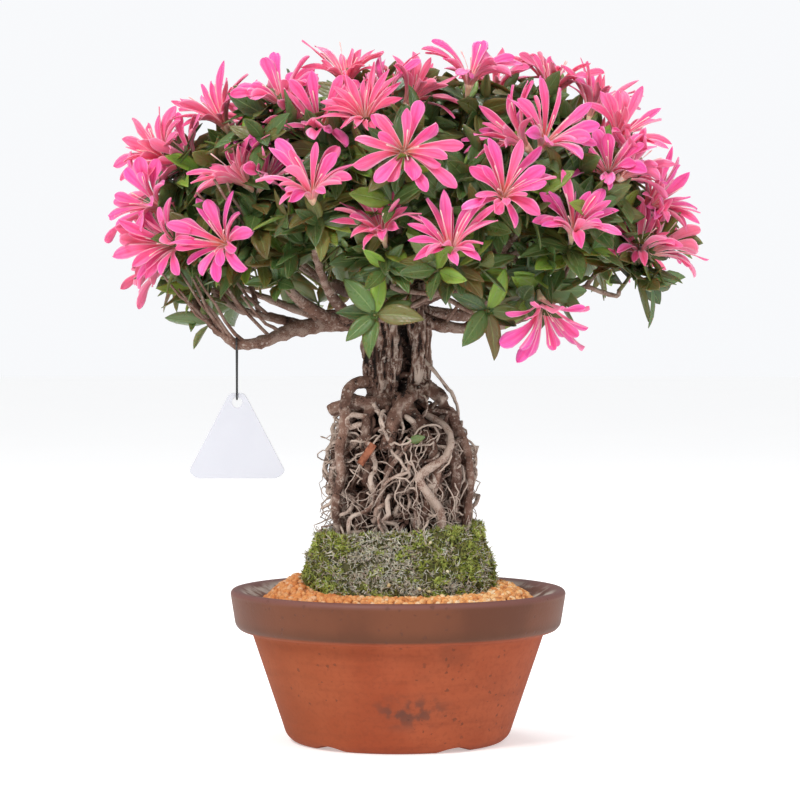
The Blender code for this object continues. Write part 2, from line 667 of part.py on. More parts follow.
def throat_pieces(number, scrap):
    """The narrow tubes that a shoot's petals open from, in one stalk."""
    tip, facing, count = SHOOTS[number]
    facing = Vector(facing).normalized()
    made = []
    for bloom in range(count):
        foot, way = bloom_axis(number, bloom)
        begin = foot + facing * (0.75 if count == 2 else 0)
        points = [begin, foot + way * 2.6, foot + way * THROAT]
        radius = 1.25 if bloom == 0 else 1.0
        made.append(tube("throat", points, (radius, radius, 3.9), 4, scrap))
    return made


def grow(owner, slots, draw_of, blade_of, canopy, scrap):
    """One blade for each slot, at the first of its draws that stands clear of other nodes."""
    made = []
    for slot in slots:
        for attempt in range(DRAWS):
            drawn = draw_of(*slot, attempt)
            if canopy.is_clear(owner, *blade_of(*drawn, grow=CLEAR)):
                points, faces = blade_of(*drawn)
                canopy.add(owner, points, faces)
                made.append(mesh_object("blade", points, faces, scrap))
                break
    return made


def main():
    clear_scene()
    parts = collection("satsuki_azalea_bonsai")
    scrap = collection("scrap")
    terracotta = material("terracotta", (0.45, 0.14, 0.07), 0.8)
    grit = material("soil", (0.78, 0.42, 0.16), 0.95)
    moss = material("moss", (0.16, 0.20, 0.05), 1.0)
    bark = material("bark", (0.22, 0.13, 0.09), 0.85)
    green = material("leaf", (0.12, 0.22, 0.04), 0.5)
    pink = material("petal", (0.87, 0.12, 0.30), 0.45)
    card = material("tag", (0.85, 0.85, 0.82), 0.5)
    steel = material("wire", (0.03, 0.03, 0.03), 0.5)

    make_pot(parts, terracotta)
    make_soil(parts, grit)
    make_mound(parts, moss)
    wood = make_wood(parts, scrap, bark)

    tag = make_tag(parts, card)
    wire = make_wire(parts, steel)

    canopy = Canopy()
    canopy.add_object("wood", wood)
    canopy.add_object("tag", tag)
    canopy.add_object("wire", wire)
    stems, throats = [], []
    for number, (_, _, count) in enumerate(SHOOTS):
        stems.append(tube(f"spray_{number + 1:02}", shoot_line(number), (1.2, 1.15, 1.1), 4, parts))
        canopy.add_object(f"spray {number}", stems[-1])
        throats.append(throat_pieces(number, scrap))
        for piece in throats[-1]:
            canopy.add_object(f"bloom {number}", piece)

    for number, (_, _, count) in enumerate(SHOOTS):
        if not count:
            continue
        slots = [(number, bloom, petal) for bloom in range(count) for petal in range(petals_of(number))]
        petals = grow(f"bloom {number}", slots, petal_draw, petal_blade, canopy, scrap)
        first, *others = throats[number]
        first.name = f"bloom_{number + 1:02}"
        finished(combined(first, [*others, *petals], "UNION", parts), pink)

    for number, stem in enumerate(stems):
        slots = [(number, leaf) for leaf in range(LEAVES_AT_TIP + LEAVES_BELOW)]
        leaves = grow(f"spray {number}", slots, leaf_draw, leaf_blade, canopy, scrap)
        finished(combined(stem, leaves, "UNION", parts), green)

    bpy.data.collections.remove(scrap)


main()
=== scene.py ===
"""The looks of a satsuki azalea bonsai: bark, roots, leaves, strap-petalled blooms, moss and fired clay.

Lengths are in millimetres in this script and become metres where a mesh is made. +Z is up, the origin is
the middle of the pot's foot, and the tree's front faces -Y.
"""

import json
import math
import random

import bmesh
import bpy
import numpy as np
from mathutils import Matrix, Vector, kdtree, noise

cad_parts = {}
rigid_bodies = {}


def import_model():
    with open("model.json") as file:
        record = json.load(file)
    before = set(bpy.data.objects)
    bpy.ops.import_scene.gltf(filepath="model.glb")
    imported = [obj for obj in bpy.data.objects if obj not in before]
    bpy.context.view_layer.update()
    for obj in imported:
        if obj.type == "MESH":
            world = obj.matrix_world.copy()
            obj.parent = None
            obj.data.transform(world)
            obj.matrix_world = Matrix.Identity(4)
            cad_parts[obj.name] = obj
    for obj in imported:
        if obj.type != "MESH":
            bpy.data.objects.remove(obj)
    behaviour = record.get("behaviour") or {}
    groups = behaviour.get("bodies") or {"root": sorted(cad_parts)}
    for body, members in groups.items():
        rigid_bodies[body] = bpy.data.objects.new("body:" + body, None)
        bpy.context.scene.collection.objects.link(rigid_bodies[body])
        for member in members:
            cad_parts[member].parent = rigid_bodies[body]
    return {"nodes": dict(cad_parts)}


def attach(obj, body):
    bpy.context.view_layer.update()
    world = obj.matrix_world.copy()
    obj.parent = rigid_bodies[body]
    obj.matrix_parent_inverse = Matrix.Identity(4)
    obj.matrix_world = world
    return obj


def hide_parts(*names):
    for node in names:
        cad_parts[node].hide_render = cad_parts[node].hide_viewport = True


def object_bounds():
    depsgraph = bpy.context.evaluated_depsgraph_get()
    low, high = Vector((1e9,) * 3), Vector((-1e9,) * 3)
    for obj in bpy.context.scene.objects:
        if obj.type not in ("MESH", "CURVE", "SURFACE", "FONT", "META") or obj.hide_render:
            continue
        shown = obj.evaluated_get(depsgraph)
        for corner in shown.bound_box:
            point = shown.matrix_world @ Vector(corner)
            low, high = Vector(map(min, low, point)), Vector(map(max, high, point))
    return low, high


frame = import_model()
SOLIDS_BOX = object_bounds()
bpy.context.scene.view_settings.view_transform = "Standard"

MM = 0.001
UP = Vector((0, 0, 1))
GOLDEN_TURN = math.radians(137.5)
EVEN_TINT = (0.5, 0.5, 0.0)
FIFTHS = (0, 0.2, 0.4, 0.6, 0.8, 1)

# The pot, as its solid has it
POT_RIM_R = 90.0
POT_HEIGHT = 81.5
BAND_FOOT_R = 87.3
BAND_FOOT_Z = 62.7
BODY_TOP_R = 78.5
BODY_TOP_Z = 58.5
FOOT_R = 60.0
WALL = 8.0
LIP_R = 84.5
FLOOR_TOP_Z = 10.0
DRAINS = 3
DRAIN_R = 4.5
DRAIN_RING_R = 30.0
NOTCHES = 5
NOTCH_FIRST_DEG = 302.0
NOTCH_HEIGHT = 2.8
NOTCH_HALF_WIDTH = 11.0
POT_ROUND = 288
STAIN_SQUAT = 2.2  # how many times wider than high the dark stain in front is
STAIN = (0.006, -0.066, 0.051)  # its middle in metres, the height times STAIN_SQUAT

# The grit, the mossy mound and the root ball
SOIL_EDGE_R = 74.0
SOIL_EDGE_Z = 75.5
SOIL_FLAT_Z = 81.0
MOUND_R = 53.5
MOUND_SHOULDER_R = 49.0
MOUND_TOP_Z = 115.0
MOUND_LEAN_Z = 4.0
RECESS_R = 42.0
RECESS_Z = 92.0
ROOT_BALL_TOP_Z = 112.0
GRIT_ROUND = 120
MOUND_ROUND = 200
MOUND_STEP = 1.6  # how far apart rings of its skin lie

# The card and its wire
TAG_X, TAG_Y = -85.0, -25.5
TAG_TOP_Z = 187.0
TAG_HEIGHT = 45.0
TAG_HALF_WIDTH = 25.5
TAG_CORNER = 4.0
TAG_THICK = 1.0
TAG_EDGE = 0.15
TAG_HOLE_R = 2.7
TAG_HOLE_DROP = 5.0
WIRE_R = 0.5
WIRE_LOOP_Z = 213.0
WIRE_LOOP_R = 3.9

# The trunk's stems, each a list of (x, y, z, radius)
TRUNK_STEMS = (
    ((-7, -1, 183, 9.0), (-8.5, -2, 196, 10.4), (-9, -1, 212, 10.8), (-7, 0, 225, 11.0), (-3, 1, 238, 11.0)),
    ((9, -3, 183, 7.4), (10.5, -3, 194, 6.6), (11, -2, 208, 6.8), (9.5, -1, 222, 8.0), (4, 0, 237, 9.0)),
    ((1, 7, 182, 9.0), (1, 9, 200, 9.0), (0, 8, 220, 9.5), (0, 5, 240, 10.0)),
    ((-3, -8, 190, 4.2), (-2, -9.5, 205, 3.6), (-3, -8, 222, 4.4), (-1, -4, 236, 6.0)),
    ((1, 4, 108, 15.0), (-3, 5, 130, 11.0), (3, 6, 158, 12.0), (0, 4, 192, 13.0)),
)

# Roots that show by themselves in front: (x, y, z) points, the radius at the start and at the end
SHOWN_ROOTS = (
    (((-9, -4, 190), (-19, -13, 192.5), (-26, -19, 189), (-28, -22, 180), (-28.5, -24, 169), (-31, -26, 156),
      (-30, -28, 144), (-33, -26, 130), (-31.5, -21, 114), (-31.5, -20, 106)), 3.6, 2.0),
    (((-2, -6, 180), (-13, -15, 181), (-24, -15, 182), (-36, -11, 177)), 4.2, 3.8),
    (((10, -8, 188), (3, -20, 183), (-1, -25, 175), (-4, -29, 166), (-5, -31, 158)), 4.6, 3.6),
    (((14, -14, 176), (27, -25, 167), (26, -32, 155), (17, -36, 148), (11, -37, 143), (15, -38, 135),
      (22, -33, 125), (24, -28.5, 110)), 2.4, 2.9),
    (((13, -6, 205), (20, -9, 197), (28, -8, 187), (32, -7, 177), (31, -8, 166), (34, -10, 152)), 1.1, 0.9),
    (((15, -8, 192), (24, -14, 181), (31, -16, 170), (36, -16, 158), (38, -16, 146), (37.5, -16, 132),
      (36, -14, 118), (34, -13, 106)), 2.9, 2.0),
    (((-6, -8, 184), (-15, -19, 177), (-17, -25, 166), (-15, -27, 152), (-18, -30, 140)), 3.2, 2.2),
    (((4, -10, 184), (8, -22, 172), (15, -27, 160), (20, -30, 148), (16, -33, 136)), 2.6, 1.8),
)
STRANDS = (7, 7, 4, 4, 0)  # how many strands run up each stem
SHOULDER = (((14, -6, 190), (19, -11, 187), (23, -14, 185), (25, -15, 183)), 4.4, 2.8)  # as a shown root
KNOB = Vector((12.5, -9.5, 195))  # a pale grey knob at the foot of the right stem
TRUNK_GRID = 0.82  # the grid on which the stems and thick roots grow together
CLEFT_LOW_Z = 184  # the cleft between the two front stems, sunk in and darkened with painted shade
CLEFT_TOP_Z = 228
BARK_RELIEF = 0.55
ROOTS_TOP_Z = 190  # where the roots leave the trunk, and how far out they stand there, below and at the mound
ROOTS_TOP_R = 14.0
ROOTS_BELLY_R = 40.0
ROOTS_LOW_R = 38.0
THIN = 2.0  # shown roots up to this radius stay out of the thick ones
THICK_ROOTS = 7
THIN_ROOTS = 9
INNER_ROOTS = 34
MORE_ROOTS = 90
ROOT_STEP = 2.6
ROOT_STEPS = 60
HAIR_ROOTS = 270
PALE_ROOT = 3  # the shown root that is tinted the palest, with wear and painted highlight

# Main branches: (x, y, z) points, the radius at the start and at the end
BRANCHES = {
    "low_left": (((-10, 0, 225), (-36, -5, 224), (-52, -14, 221), (-61, -20, 218), (-73, -25, 213.5),
                  (-85, -25.5, 213), (-94, -24, 219), (-102, -22, 227), (-108, -20, 236)), 5.0, 1.3),
    "left_mid": (((-48, -11, 222), (-68, -5, 227), (-85, 1, 231), (-97, 5, 238), (-104, 8, 247)), 2.4, 1.3),
    "left_up": (((-36, -5, 225), (-52, -24, 236), (-62, -38, 249), (-69, -47, 261),
                 (-73, -52, 270)), 3.0, 1.4),
    "left_front": (((-26, -2, 226), (-36, -30, 240), (-41, -55, 253), (-43, -70, 262)), 2.8, 1.4),
    "up_left": (((-5, 0, 236), (-18, 3, 252), (-29, 0, 270), (-36, -12, 287), (-39, -30, 299)), 4.4, 1.4),
    "up": (((0, 3, 237), (0, 12, 256), (2, 13, 280), (4, 5, 300), (2, -10, 313)), 4.6, 1.4),
    "front": (((1, -4, 234), (0, -34, 247), (0, -58, 263), (1, -76, 282)), 3.8, 1.5),
    "front_right": (((6, -4, 234), (16, -38, 238), (22, -64, 240)), 2.8, 1.5),
    "low_right": (((12, 0, 226), (25, -9, 222), (41, -19, 221), (56, -27, 223), (69, -33, 228),
                   (85, -40, 237), (98, -42, 243)), 3.4, 1.2),
    "right_mid": (((9, 2, 234), (28, -10, 244), (48, -29, 255), (66, -42, 262)), 3.4, 1.7),
    "right_up": (((48, -29, 255), (60, -45, 268), (66, -54, 281), (69, -61, 290)), 2.0, 1.3),
    "right_twig": (((62, -39, 261), (83, -48, 271), (97, -49, 279)), 1.9, 1.2),
    "up_right": (((6, 4, 236), (23, 20, 256), (45, 22, 281), (66, 14, 303), (80, 6, 313)), 4.2, 1.3),
    "back_left": (((-6, 6, 236), (-34, 40, 244), (-58, 64, 258), (-76, 74, 272)), 3.8, 1.4),
    "back": (((0, 8, 236), (4, 48, 250), (4, 76, 270), (2, 86, 290)), 3.8, 1.4),
    "back_right": (((8, 6, 235), (36, 40, 246), (62, 62, 258), (84, 70, 272)), 3.8, 1.4),
    "low_back_left": (((-8, 4, 230), (-44, 34, 228), (-70, 52, 236), (-92, 58, 246)), 3.2, 1.3),
    "low_back_right": (((10, 4, 230), (42, 34, 228), (72, 50, 235), (98, 54, 246)), 3.2, 1.3),
}

# Shoots: where the shoot's tip stands, the way it faces, and how many blooms it carries
SHOOTS = (
    ((2, -92, 309), (0.10, -0.93, 0.10), 1),
    ((27, -96, 254), (-0.05, -0.72, 0.66), 1),
    ((-43, -86, 281), (-0.05, -0.62, 0.78), 1),
    ((-73, -56, 290), (-0.10, -0.50, 0.86), 2),
    ((-97, -18, 303), (-0.86, -0.12, 0.45), 1),
    ((-110, -36, 264), (-0.92, -0.28, 0.10), 2),
    ((-40, -48, 316), (-0.42, -0.30, 0.82), 2),
    ((0, -34, 332), (0.02, -0.30, 0.95), 2),
    ((71, -66, 309), (-0.22, -0.58, 0.78), 2),
    ((52, 8, 335), (-0.05, -0.05, 1.00), 1),
    ((100, 2, 326), (0.40, 0.05, 0.90), 1),
    ((110, -46, 294), (0.38, -0.38, 0.84), 2),
    ((88, -74, 264), (0.10, -0.72, 0.68), 1),
    ((126, -30, 255), (0.45, -0.35, 0.80), 2),
    ((72, -62, 241), (0.20, -0.62, -0.72), 1),
    ((-6, -78, 262), (-0.20, -0.55, 0.75), 1),
    ((-62, 4, 318), (-0.35, 0.10, 0.92), 1),
    ((4, 38, 334), (0.00, 0.35, 0.93), 1),
    ((-92, 52, 292), (-0.62, 0.50, 0.60), 2),
    ((-44, 76, 306), (-0.25, 0.72, 0.65), 1),
    ((22, 92, 296), (0.10, 0.90, 0.42), 2),
    ((76, 66, 300), (0.45, 0.65, 0.60), 1),
    ((112, 44, 264), (0.80, 0.55, 0.20), 1),
    ((-20, 100, 258), (-0.15, 0.95, 0.10), 1),
    ((58, 88, 250), (0.35, 0.90, 0.05), 1),
    ((-114, 24, 256), (-0.95, 0.25, 0.10), 1),
    ((-12, -84, 228), (-0.25, -0.78, -0.10), 0),
    ((46, -84, 230), (0.35, -0.80, -0.20), 0),
)
SOLID_SHOOTS = len(SHOOTS)

# Shoots that only the looks have, to close the crown between the others
SHOOTS += (
    ((-57, -30, 330), (-0.25, -0.50, 0.83), 1),
    ((-88, -8, 322), (-0.50, -0.30, 0.80), 1),
    ((80, 14, 338), (0.20, -0.20, 0.95), 1),
    ((-26, -24, 341), (-0.10, -0.40, 0.91), 1),
    ((36, -26, 342), (0.15, -0.45, 0.88), 1),
    ((110, -26, 312), (0.45, -0.50, 0.74), 1),
    ((-116, -12, 304), (-0.65, -0.45, 0.60), 1),
    ((-118, -26, 282), (-0.80, -0.52, 0.30), 1),
    ((126, -18, 280), (0.66, -0.55, 0.50), 1),
    ((52, -84, 284), (0.10, -0.88, 0.40), 1),
    ((-16, -60, 322), (-0.10, -0.75, 0.65), 1),
    ((-84, -50, 262), (-0.45, -0.80, 0.25), 1),
    ((-70, 40, 318), (-0.35, 0.40, 0.85), 1),
    ((44, 54, 322), (0.20, 0.50, 0.85), 1),
    ((-10, 64, 318), (0.00, 0.60, 0.80), 1),
    ((96, 30, 306), (0.55, 0.35, 0.75), 1),
    ((-108, 22, 284), (-0.80, 0.35, 0.48), 1),
    ((-66, 74, 268), (-0.50, 0.80, 0.30), 1),
    ((86, 72, 268), (0.60, 0.72, 0.30), 1),
    ((10, 96, 268), (0.10, 0.96, 0.20), 1),
    ((-66, -30, 340), (-0.30, -0.20, 0.93), 0),
    ((-4, -26, 347), (0.10, -0.20, 0.97), 0),
    ((66, -8, 345), (0.20, -0.10, 0.97), 0),
    ((-20, 20, 346), (-0.20, 0.20, 0.95), 0),
    ((32, 30, 343), (0.10, 0.30, 0.95), 0),
    ((-116, -24, 306), (-0.80, -0.20, 0.55), 0),
    ((-98, 30, 312), (-0.60, 0.40, 0.70), 0),
    ((132, -34, 262), (0.90, -0.30, 0.15), 0),
    ((118, 10, 300), (0.80, 0.10, 0.60), 0),
    ((22, -2, 336), (0.10, -0.10, 0.98), 0),
    ((24, 66, 318), (0.10, 0.50, 0.85), 0),
    ((-84, -52, 302), (-0.30, -0.78, 0.50), 0),
    ((-28, -76, 308), (0.10, -0.75, 0.60), 0),
    ((36, -80, 304), (0.20, -0.78, 0.55), 0),
    ((98, -58, 290), (0.50, -0.70, 0.45), 0),
    ((-70, -62, 322), (-0.20, -0.40, 0.90), 0),
)
SHOOT_LENGTH = 22.0
TWIG_R = 1.25
TWIG_END = 4.0
GAP = 0.3

# Leaves and petals, as their solids have them
LEAVES_AT_TIP = 5
LEAVES_BELOW = 2
LEAF_LENGTH = (21.0, 31.0)
LEAF_WIDTH = 0.40
PETALS = 7
PETALS_IN_PAIR = 6
PETAL_LENGTH = (32.0, 42.0)
PETAL_WIDTH = (5.5, 9.0)
PAIR_LEAN = 0.62  # how far each bloom of a pair leans to its side, in radians
THROAT = 8.0
PETAL_SINK = 3.0
PETAL_RING_R = 0.8
PADDLE = 0.84  # where a petal is widest
DRAWS = 7
SAME = 0.06  # how near a solid's corner stands to a drawn blade's
# Corners of the solids' blades: how far along the blade, and how many widths to its side
LEAF_MARKS = ((1, 0), (0.68, 0.38), (0.68, -0.38), (0.34, 0.46), (0.34, -0.46))
PETAL_MARKS = ((1, 0.275), (1, -0.275), (0.84, 0.5), (0.84, -0.5))

# How finely stems and blades are drawn: a blade's rows stand at its stations
LUMPS_ROUND = 1.3
LUMPS_ALONG = 0.16
PLACE_UNIT = 100  # the length in mm that counts as 1 in a stem's places
END_ROUND = 0.35
RIM_THINNING = 0.6
LEAF_THICK = 0.34
LEAF_COLUMNS = 5
LEAF_STATIONS = (0, 0.05, 0.12, 0.24, 0.38, 0.52, 0.66, 0.8, 0.91, 1)
SMALL_LEAF_STATIONS = (0, 0.08, 0.26, 0.5, 0.74, 0.9, 1)
BIT_STATIONS = (0, 0.1, 0.3, 0.5, 0.7, 0.9, 1)
PETAL_THICK = 0.4
PETAL_COLUMNS = 7
PETAL_STATIONS = (0, 0.12, 0.24, 0.36, 0.48, 0.6, 0.7, 0.78, 0.86, 0.92, 0.96, 0.985, 1)

# What the solids leave out
THIN_TWIGS = 30
# The branches that carry them
TWIGGY = ("low_left", "left_mid", "left_up", "low_right", "right_mid", "low_left")
MORE_LEAVES = 6
LEAF_TURN = 2.4  # from one added leaf to the next, in radians
SIDE_TWIGS = 3
TWIG_LEAVES = 5
SEPALS = 5
MORE_PETALS = 9
# How narrow and pointed one bloom's petals are after another's
SLENDER = (0.0, 0.8, 0.3, 1.0, 0.15, 0.6, 0.45)
STAMENS = 4

# Colours by tone, kind or place along a petal, as (position, colour) stops
TONES = {
    "grit_bed_clay": ((0.0, (0.20, 0.09, 0.04)), (1.0, (0.45, 0.22, 0.10))),
    "grit_grain_clay": ((0.0, (0.50, 0.17, 0.05)), (0.25, (0.74, 0.29, 0.085)), (0.6, (0.86, 0.42, 0.14)),
                        (0.85, (0.90, 0.56, 0.26)), (1.0, (0.92, 0.74, 0.50))),
    "cream_fleck": ((0.0, (0.55, 0.50, 0.26)), (1.0, (0.80, 0.76, 0.55))),
    "moss_felt_finish": ((0.0, (0.045, 0.036, 0.018)), (0.5, (0.09, 0.09, 0.03)), (1.0, (0.16, 0.17, 0.05))),
    "moss_dark_finish": ((0.0, (0.075, 0.055, 0.022)), (0.45, (0.19, 0.20, 0.045)),
                         (1.0, (0.48, 0.52, 0.15))),
    "moss_bright_finish": ((0.0, (0.15, 0.17, 0.03)), (0.5, (0.36, 0.43, 0.07)), (1.0, (0.74, 0.78, 0.26))),
    "moss_dry_finish": ((0.0, (0.24, 0.16, 0.11)), (0.5, (0.76, 0.68, 0.54)), (1.0, (0.95, 0.93, 0.82))),
    "leaf_kinds": ((0.0, (0.035, 0.08, 0.02)), (0.66, (0.06, 0.12, 0.025)), (0.76, (0.13, 0.125, 0.02)),
                   (0.86, (0.12, 0.075, 0.02)), (0.92, (0.19, 0.33, 0.035)), (1.0, (0.25, 0.42, 0.05))),
    "petal_strap": ((0.0, (0.90, 0.66, 0.36)), (0.16, (0.92, 0.36, 0.22)), (0.40, (0.88, 0.13, 0.23)),
                    (0.70, (0.86, 0.07, 0.29)), (1.0, (0.86, 0.075, 0.36))),
}

# What the scatter takes in, each with its kind of socket
SCATTER_INPUTS = (("Surface", "Geometry"), ("Shapes", "Collection"), ("Density", "Float"), ("Seed", "Int"),
                  ("Smallest", "Float"), ("Largest", "Float"), ("Tilt", "Float"), ("Finish", "Material"))
SQUASH_SEED = 5
TONE_SEED = 9

# The studio, in metres
CAMERA_SPOT = (0.001, -1.6, 0.230)
CAMERA_DOWN_DEG = 1.7
LENS = 134.4
SENSOR = 36
SURROUND_LIGHT = 0.62
SURROUND_SEEN = 0.97
FLOOR_GLOW = 0.40  # what the pale floor gives off of its own, so that it meets the surround


def smooth(points, steps):
    """Points on a Catmull-Rom curve through these points."""
    knots = [Vector(p) for p in points]
    knots = [2 * knots[0] - knots[1], *knots, 2 * knots[-1] - knots[-2]]
    found = []
    for a, b, c, d in zip(knots, knots[1:], knots[2:], knots[3:]):
        for step in range(steps):
            t = step / steps
            found.append(0.5 * (2 * b + (c - a) * t + (2 * a - 5 * b + 4 * c - d) * t**2
                                + (3 * b - a - 3 * c + d) * t**3))
    return [*found, knots[-2]]


def heading(turn):
    """The level unit vector that points this far round the axis."""
    return Vector((math.cos(turn), math.sin(turn), 0))


def clamped(value, low=0.0, high=1.0):
    return max(low, min(high, value))


def bent(way, end_way, t):
    """The point at t of an evenly bending line of length 1 that starts one way and ends the other."""
    return way * (t - t * t / 2) + end_way * t * t / 2


def tapered(count, start, end):
    return [start + (end - start) * i / (count - 1) for i in range(count)]


def across(direction):
    """Two unit vectors square to a direction and to each other."""
    side = direction.cross(UP)
    if side.length < 0.05:
        side = direction.cross(Vector((1, 0, 0)))
    side.normalize()
    return side, side.cross(direction).normalized()


def leaning(direction, angle, turn):
    """The direction tipped by angle towards the side that turn picks."""
    side, other = across(direction)
    out = side * math.cos(turn) + other * math.sin(turn)
    return (direction * math.cos(angle) + out * math.sin(angle)).normalized()


class Mass:
    """Points and faces gathered for one piece.

    Each point has a tint (tone, mark, side) and a place on its blade or stem.
    """

    def __init__(self):
        self.points, self.faces, self.tints, self.places = [], [], [], []

    def add(self, points, faces, tint, places):
        first = len(self.points)
        self.points += points
        self.faces += [tuple(first + i for i in face) for face in faces]
        self.tints += [tint] * len(points) if isinstance(tint, tuple) else tint
        self.places += places


def linked(obj):
    bpy.context.scene.collection.objects.link(obj)
    return obj


def mesh_of(name, points, faces):
    """A mesh of points that are given in millimetres."""
    mesh = bpy.data.meshes.new(name)
    mesh.from_pydata([tuple(p * MM) for p in points], [], faces)
    return mesh


def reworked(mesh, change):
    """The mesh after change has worked on it as an edit mesh."""
    shape = bmesh.new()
    shape.from_mesh(mesh)
    change(shape)
    shape.to_mesh(mesh)
    shape.free()
    return mesh


def give_tints(mesh, tints):
    """The attribute that the finishes read: (tone, mark, side, 1) at each point."""
    colours = np.array(tints, dtype=np.float32).ravel()
    mesh.attributes.new("tint", "FLOAT_COLOR", "POINT").data.foreach_set("color", colours)


def give_numbers(mesh, name, values):
    mesh.attributes.new(name, "FLOAT", "POINT").data.foreach_set("value", values)


def piece(name, mass, finish, slot, *nodes):
    """One mesh object of the gathered points, riding on the root body in place of the named solids."""
    mesh = mesh_of(name, mass.points, mass.faces)
    mesh.shade_smooth()
    give_tints(mesh, [(*tint, 1.0) for tint in mass.tints])
    corners = np.empty(len(mesh.loops), dtype=np.int32)
    mesh.loops.foreach_get("vertex_index", corners)
    layer = mesh.uv_layers.new(name="UVMap")
    layer.data.foreach_set("uv", np.array(mass.places, dtype=np.float32)[corners].ravel())
    kept(bpy.data.objects.new(name, mesh), finish, slot, *nodes)


def kept(obj, finish, slot, *nodes):
    """Puts an object in the scene on the root body, in one finish, in place of the named solids; the slot is
    not used.
    """
    if obj.name not in bpy.context.scene.collection.all_objects:
        linked(obj)
    obj.data.materials.clear()
    obj.data.materials.append(finish)
    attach(obj, "root")
    if nodes:
        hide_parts(*nodes)


def plain_mesh(obj, name):
    """The object as it is evaluated, as a new object with no modifiers, in place of the old one."""
    bpy.context.view_layer.update()
    mesh = bpy.data.meshes.new_from_object(obj.evaluated_get(bpy.context.evaluated_depsgraph_get()))
    bpy.data.objects.remove(obj, do_unlink=True)
    return linked(bpy.data.objects.new(name, mesh))


def ring_pairs(rings, around):
    """Neighbouring points in each ring but the last, as pairs of their numbers."""
    return [(i * around + s, i * around + (s + 1) % around) for i in range(rings - 1) for s in range(around)]


def sweep(mass, path, radii, sides, tint, lump=0.0, seed=0.0):
    """A closed stem along a path, its girth uneven by lump."""
    points, places = [], []
    normal = None
    last = len(path) - 1
    run = 0.0
    for i, spot in enumerate(path):
        ahead = (path[min(i + 1, last)] - path[max(i - 1, 0)]).normalized()
        normal = across(ahead)[0] if normal is None else (normal - ahead * normal.dot(ahead)).normalized()
        other = ahead.cross(normal)
        run += (spot - path[i - 1]).length if i else 0
        for s in range(sides):
            turn = math.tau * s / sides
            out = normal * math.cos(turn) + other * math.sin(turn)
            r = radii[i]
            if lump:
                where = Vector((out.x * LUMPS_ROUND + seed, out.y * LUMPS_ROUND,
                                out.z * LUMPS_ROUND + run * LUMPS_ALONG))
                r *= 1 + lump * noise.noise(where)
            points.append(spot + out * r)
            places.append((s / sides, run / PLACE_UNIT))
    faces = [(a, b, b + sides, a + sides) for a, b in ring_pairs(len(path), sides)]
    for ring, inner in ((0, 1), (last, last - 1)):
        centre = len(points)
        points.append(path[ring] + (path[ring] - path[inner]).normalized() * radii[ring] * END_ROUND)
        places.append((0.5, run / PLACE_UNIT))
        for s in range(sides):
            a, b = ring * sides + s, ring * sides + (s + 1) % sides
            faces.append((b, a, centre) if ring == 0 else (a, b, centre))
    mass.add(points, faces, tint(points) if callable(tint) else tint, places)


def taper(mass, line, start, end, sides, tint, lump=0.0, seed=0.0):
    """A closed stem along a line whose radius goes evenly from start to end."""
    sweep(mass, line, tapered(len(line), start, end), sides, tint, lump, seed)


def blade_faces(rows, columns):
    """The faces of a thin closed blade: its upper side, its lower side and its rim."""
    below = rows * columns
    faces = []
    for i in range(rows - 1):
        left, right = i * columns, i * columns + columns - 1
        for a in range(left, right):
            b = a + columns
            faces.append((a, a + 1, b + 1, b))
            faces.append((below + a, below + b, below + b + 1, below + a + 1))
        faces.append((left + columns, below + left + columns, below + left, left))
        faces.append((right, below + right, below + right + columns, right + columns))
    for a in range(columns - 1):
        b = (rows - 1) * columns + a
        faces.append((a, below + a, below + a + 1, a + 1))
        faces.append((b + 1, below + b + 1, below + b, b))
    return faces


def blade(mass, drawn, half_width, fold, lift, stations, columns, thick, tint, bend=0.0, twist=0.0):
    """A closed thin leaf or petal, folded along its middle, bent sideways and twisted.

    fold gives the angle at a station, lift the height of a point above the blade's middle plane.
    """
    root, way, end_way, side, length, width = drawn
    tops, unders, places = [], [], []
    for t in stations:
        middle = root + length * (bent(way, end_way, t) + side * bend * t * t)
        ahead = (way * (1 - t) + end_way * t + side * bend * 2 * t).normalized()
        wide = Matrix.Rotation(twist * t * t, 3, ahead) @ (side - ahead * side.dot(ahead)).normalized()
        up = wide.cross(ahead).normalized()
        half = half_width(t, width)
        for j in range(columns):
            u = 2 * j / (columns - 1) - 1
            spot = middle + wide * (u * half * math.cos(fold(t) * abs(u))) + up * lift(t, u, half)
            tops.append(spot)
            unders.append(spot - up * thick * (1 - RIM_THINNING * abs(u)))
            places.append((j / (columns - 1), t))
    tints = [(*tint, 0.0)] * len(tops) + [(*tint, 1.0)] * len(unders)
    mass.add(tops + unders, blade_faces(len(stations), columns), tints, places + places)


def leaf_half(t, width):
    """Half a leaf's width: a short stalk, a long oval, a drawn-out tip."""
    s = max(0.0, (t - 0.07) / 0.93)
    return 0.42 + width * 0.5 * math.sin(math.pi * s ** 0.88) ** 0.82 * (1 - 0.16 * s) - 0.3 * s


def petal_half(t, width, point):
    """Half a petal's width: a long narrow claw, then a paddle, rounded at 0 and drawn to a point at 1."""
    widest = PADDLE - 0.16 * point
    if t < widest:
        return width * (0.13 + 0.37 * (t / widest) ** (2.4 - point))
    s = (t - widest) / (1 - widest)
    return width * 0.5 * max(0.02, 1 - s * s) ** (0.5 + 0.35 * point)


